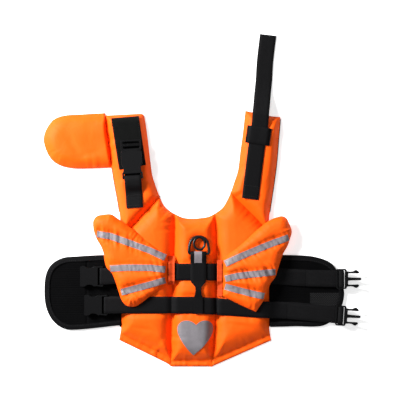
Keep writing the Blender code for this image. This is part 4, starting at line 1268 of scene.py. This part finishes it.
low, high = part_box("d_ring")
BAR, ARCH_WIRE, EYE_WIRE = 1.6 * MM, 2.1 * MM, 1.75 * MM
hinge = Vector(frame["joints"][0]["pos_m"])
fall = (hinge.z - (low.z + ARCH_WIRE)) / (high.y - ARCH_WIRE - hinge.y)


def in_ring(x, y):
    return (x, y, hinge.z - fall * (y - hinge.y))


cx, wide = (low.x + high.x) / 2, (high.x - low.x) / 2 - ARCH_WIRE
tall = high.y - ARCH_WIRE - hinge.y
side = [(0.0, 1.0), (0.36, 0.965), (0.66, 0.85), (0.86, 0.66), (0.96, 0.42), (1.0, 0.16),
        (0.985, 0.06), (0.94, 0.01), (0.88, 0.0)]
plan = [(cx + wide * u, hinge.y + tall * v) for u, v in side]
plan += [(2 * cx - x, y) for x, y in plan[:0:-1]]
arch = [in_ring(*p) for p in smooth(np.array(plan), 0.7 * MM, corner=120, straight=9 * MM)]
wires = [BAR + (ARCH_WIRE - BAR) * min(1, max(0, (p[1] - hinge.y) / (4.5 * MM))) for p in arch]
eye = [in_ring(cx + 0.6 * MM + 8.2 * MM * math.cos(a), hinge.y + (15.2 + 9.2 * math.sin(a)) * MM)
       for a in np.linspace(0, 2 * math.pi, 64, endpoint=False)]
put(sweep("ring_arch", bar(arch, wires), steel, closed_path=True), "black_coated_steel",
    "d_ring", rides="ring")
put(sweep("ring_eye", bar(eye, [EYE_WIRE] * len(eye)), steel, closed_path=True),
    "black_coated_steel", rides="ring")

# %% [markdown]
# ## Stitches
# A stitch is a short bead of thread. One tree walks each sewn line at the stitch pitch, sets a
# bead on every step in line with the seam, and turns the lot into plain mesh.


# %% Geometry tree for stitches
def stitch_tree():
    tree = bpy.data.node_groups.new("Stitch run", "GeometryNodeTree")
    face = tree.interface
    face.new_socket("Geometry", in_out="INPUT", socket_type="NodeSocketGeometry")
    for label, value in (("Pitch", 3.0 * MM), ("Length", 2.2 * MM), ("Thread", 0.55 * MM)):
        face.new_socket(label, in_out="INPUT", socket_type=FLOAT).default_value = value
    face.new_socket("Material", in_out="INPUT", socket_type="NodeSocketMaterial")
    face.new_socket("Geometry", in_out="OUTPUT", socket_type="NodeSocketGeometry")
    add, link = tree.nodes.new, tree.links.new
    given, made = add("NodeGroupInput"), add("NodeGroupOutput")
    curve = add("GeometryNodeMeshToCurve")
    link(given.outputs["Geometry"], curve.inputs["Mesh"])
    steps = add("GeometryNodeResampleCurve")
    steps.mode = "LENGTH"
    link(curve.outputs[0], steps.inputs["Curve"])
    link(given.outputs["Pitch"], steps.inputs["Length"])
    bead = add("GeometryNodeMeshUVSphere")
    bead.inputs["Segments"].default_value = 6
    bead.inputs["Rings"].default_value = 4
    bead.inputs["Radius"].default_value = 0.5
    scale = add("ShaderNodeCombineXYZ")
    link(given.outputs["Length"], scale.inputs[0])
    link(given.outputs["Thread"], scale.inputs[1])
    link(given.outputs["Thread"], scale.inputs[2])
    aim = add("FunctionNodeAlignRotationToVector")
    aim.axis = "X"
    link(add("GeometryNodeInputTangent").outputs[0], aim.inputs["Vector"])
    copies = add("GeometryNodeInstanceOnPoints")
    link(steps.outputs[0], copies.inputs["Points"])
    link(bead.outputs[0], copies.inputs["Instance"])
    link(aim.outputs[0], copies.inputs["Rotation"])
    link(scale.outputs[0], copies.inputs["Scale"])
    real = add("GeometryNodeRealizeInstances")
    link(copies.outputs[0], real.inputs[0])
    paint = add("GeometryNodeSetMaterial")
    link(real.outputs[0], paint.inputs["Geometry"])
    link(given.outputs["Material"], paint.inputs["Material"])
    link(paint.outputs[0], made.inputs[0])
    return tree


stitch_run = stitch_tree()


def stitches(name, lines, finish, slot, pitch=3.0, length=2.2, thread=0.55):
    """Beads of thread along open lines of (x, y, z) points."""
    verts, edges = [], []
    for line in lines:
        start = len(verts)
        verts += [tuple(p) for p in line]
        edges += [(start + i, start + i + 1) for i in range(len(line) - 1)]
    mesh = bpy.data.meshes.new(name)
    mesh.from_pydata(verts, edges, [])
    piece = bpy.data.objects.new(name, mesh)
    bpy.context.scene.collection.objects.link(piece)
    run_tree(piece, stitch_run, {"Pitch": pitch * MM, "Length": length * MM,
                                 "Thread": thread * MM, "Material": finish})
    piece.data.shade_smooth()
    return put(piece, slot)


def on_top(tree, plan, lift=0.1 * MM):
    return [(*p, z + lift) for p, z in zip(plan, drop(tree, plan))]


def offset_loop(loop, by):
    """The loop moved inwards and closed on itself."""
    moved = loop - outward(loop) * by
    keep = nearest(moved, loop)[0] > by * 0.9
    moved = moved[keep & inside(moved, loop)]
    return np.vstack([moved, moved[:1]])


# %% Sewn lines
everything = surface([o for o in bpy.context.scene.objects
                      if o.type == "MESH" and "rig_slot" in o and not o.hide_render])
stitches("stitch_tapes", [on_top(everything, offset_loop(loop, 1.1 * MM))
                          for loop in tape_loops.values()], grey_thread, "reflective_tape",
         2.6, 1.9, 0.4)
stitches("stitch_heart", [on_top(everything, offset_loop(heart_loop, 1.3 * MM))],
         grey_thread, "reflective_tape", 2.4, 1.8, 0.4)
stitches("stitch_patch", [on_top(surface([patch]), offset_loop(patch_loop, 2.0 * MM))],
         black_thread, "black_webbing", 2.8, 2.1, 0.5)
hem = smooth(rim("lining_back"), 3 * MM)
rear = (outward(hem)[:, 1] < -0.5) & (hem[:, 1] < -60 * MM)
start = next(i for i in range(len(hem)) if rear[i] and not rear[i - 1])
hem = np.roll(hem - outward(hem) * HEM_SEAM, -start, 0)[:rear.sum()]
stitches("stitch_hem", [on_top(everything, hem)], orange_thread, "orange_nylon", 3.0, 2.2, 0.5)


def end_box(node, length=20 * MM, inset=2.5 * MM):
    """The sewn rectangle that holds the lower end of a webbing down."""
    rows = resample(ribbon_rows(node), 2 * MM)
    if rows[0][0][1] > rows[-1][0][1]:
        rows = rows[::-1]
    first = rows[0][0]
    rows = [r for r in rows if inset < np.linalg.norm(r[0] - first) < length]
    sides = [[r[0] + s * r[1] * (r[2] / 2 - inset) for r in rows] for s in (-1, 1)]
    ring = np.array(sides[0] + sides[1][::-1] + sides[0][:1])[:, :2]
    return on_top(everything, ring)


stitches("stitch_webbing", [end_box("neck_webbing_left"), end_box("neck_webbing_right")],
         black_thread, "black_webbing", 2.8, 2.1, 0.5)
stitches("stitch_binding", binding_lines, black_thread, "black_binding", 2.8, 2.1, 0.5)

# %% [markdown]
# ## Table, light and camera
# The jacket lies on a pale table under soft light from the upper left, and the camera looks
# straight down with a long lens.

# %% Table
table = bpy.data.meshes.new("table")
table.from_pydata([(-6, -6, 0), (6, -6, 0), (6, 6, 0), (-6, 6, 0)], [], [(0, 1, 2, 3)])
table_top = bpy.data.objects.new("table", table)
table_top.location.z = -0.2 * MM
bpy.context.scene.collection.objects.link(table_top)
pale = bpy.data.materials.new("pale table")
pale.use_nodes = True
pale.node_tree.nodes["Principled BSDF"].inputs["Base Color"].default_value = (0.9, 0.9, 0.9, 1)
pale.node_tree.nodes["Principled BSDF"].inputs["Roughness"].default_value = 0.9
pale.node_tree.nodes["Principled BSDF"].inputs["Emission Color"].default_value = (1, 1, 1, 1)
pale.node_tree.nodes["Principled BSDF"].inputs["Emission Strength"].default_value = 0.55
table.materials.append(pale)


# %% Lights
def lamp(name, place, size, power, target=(0, 0.1, 0)):
    data = bpy.data.lights.new(name, "AREA")
    data.energy, data.size = power, size
    light = bpy.data.objects.new(name, data)
    light.location = place
    aim = (Vector(target) - Vector(place)).to_track_quat("-Z", "Y")
    light.rotation_euler = aim.to_euler()
    bpy.context.scene.collection.objects.link(light)


lamp("key", (-1.15, 0.75, 0.86), 0.45, 64, (-0.02, 0.13, 0))
lamp("top", (-0.1, 0.3, 1.9), 0.9, 4, (0, 0.12, 0))
lamp("fill", (1.2, -0.6, 1.5), 1.4, 5)
world = bpy.data.worlds.new("soft room")
world.use_nodes = True
world.node_tree.nodes["Background"].inputs["Color"].default_value = (1, 1, 1, 1)
world.node_tree.nodes["Background"].inputs["Strength"].default_value = 0.15
bpy.context.scene.world = world
bpy.context.scene.view_settings.view_transform = "Standard"

# %% Camera
VIEW_SIDE, VIEW_MIDDLE, LENS = 600 * MM, (8.25 * MM, 139.5 * MM), 110.0
camera_data = bpy.data.cameras.new("camera")
camera_data.lens, camera_data.sensor_width = LENS, 36.0
camera = bpy.data.objects.new("camera", camera_data)
camera.location = (*VIEW_MIDDLE, VIEW_SIDE * LENS / 36.0 + 10 * MM)
camera_data.clip_start, camera_data.clip_end = 0.05, 30.0
bpy.context.scene.collection.objects.link(camera)
bpy.context.scene.camera = camera
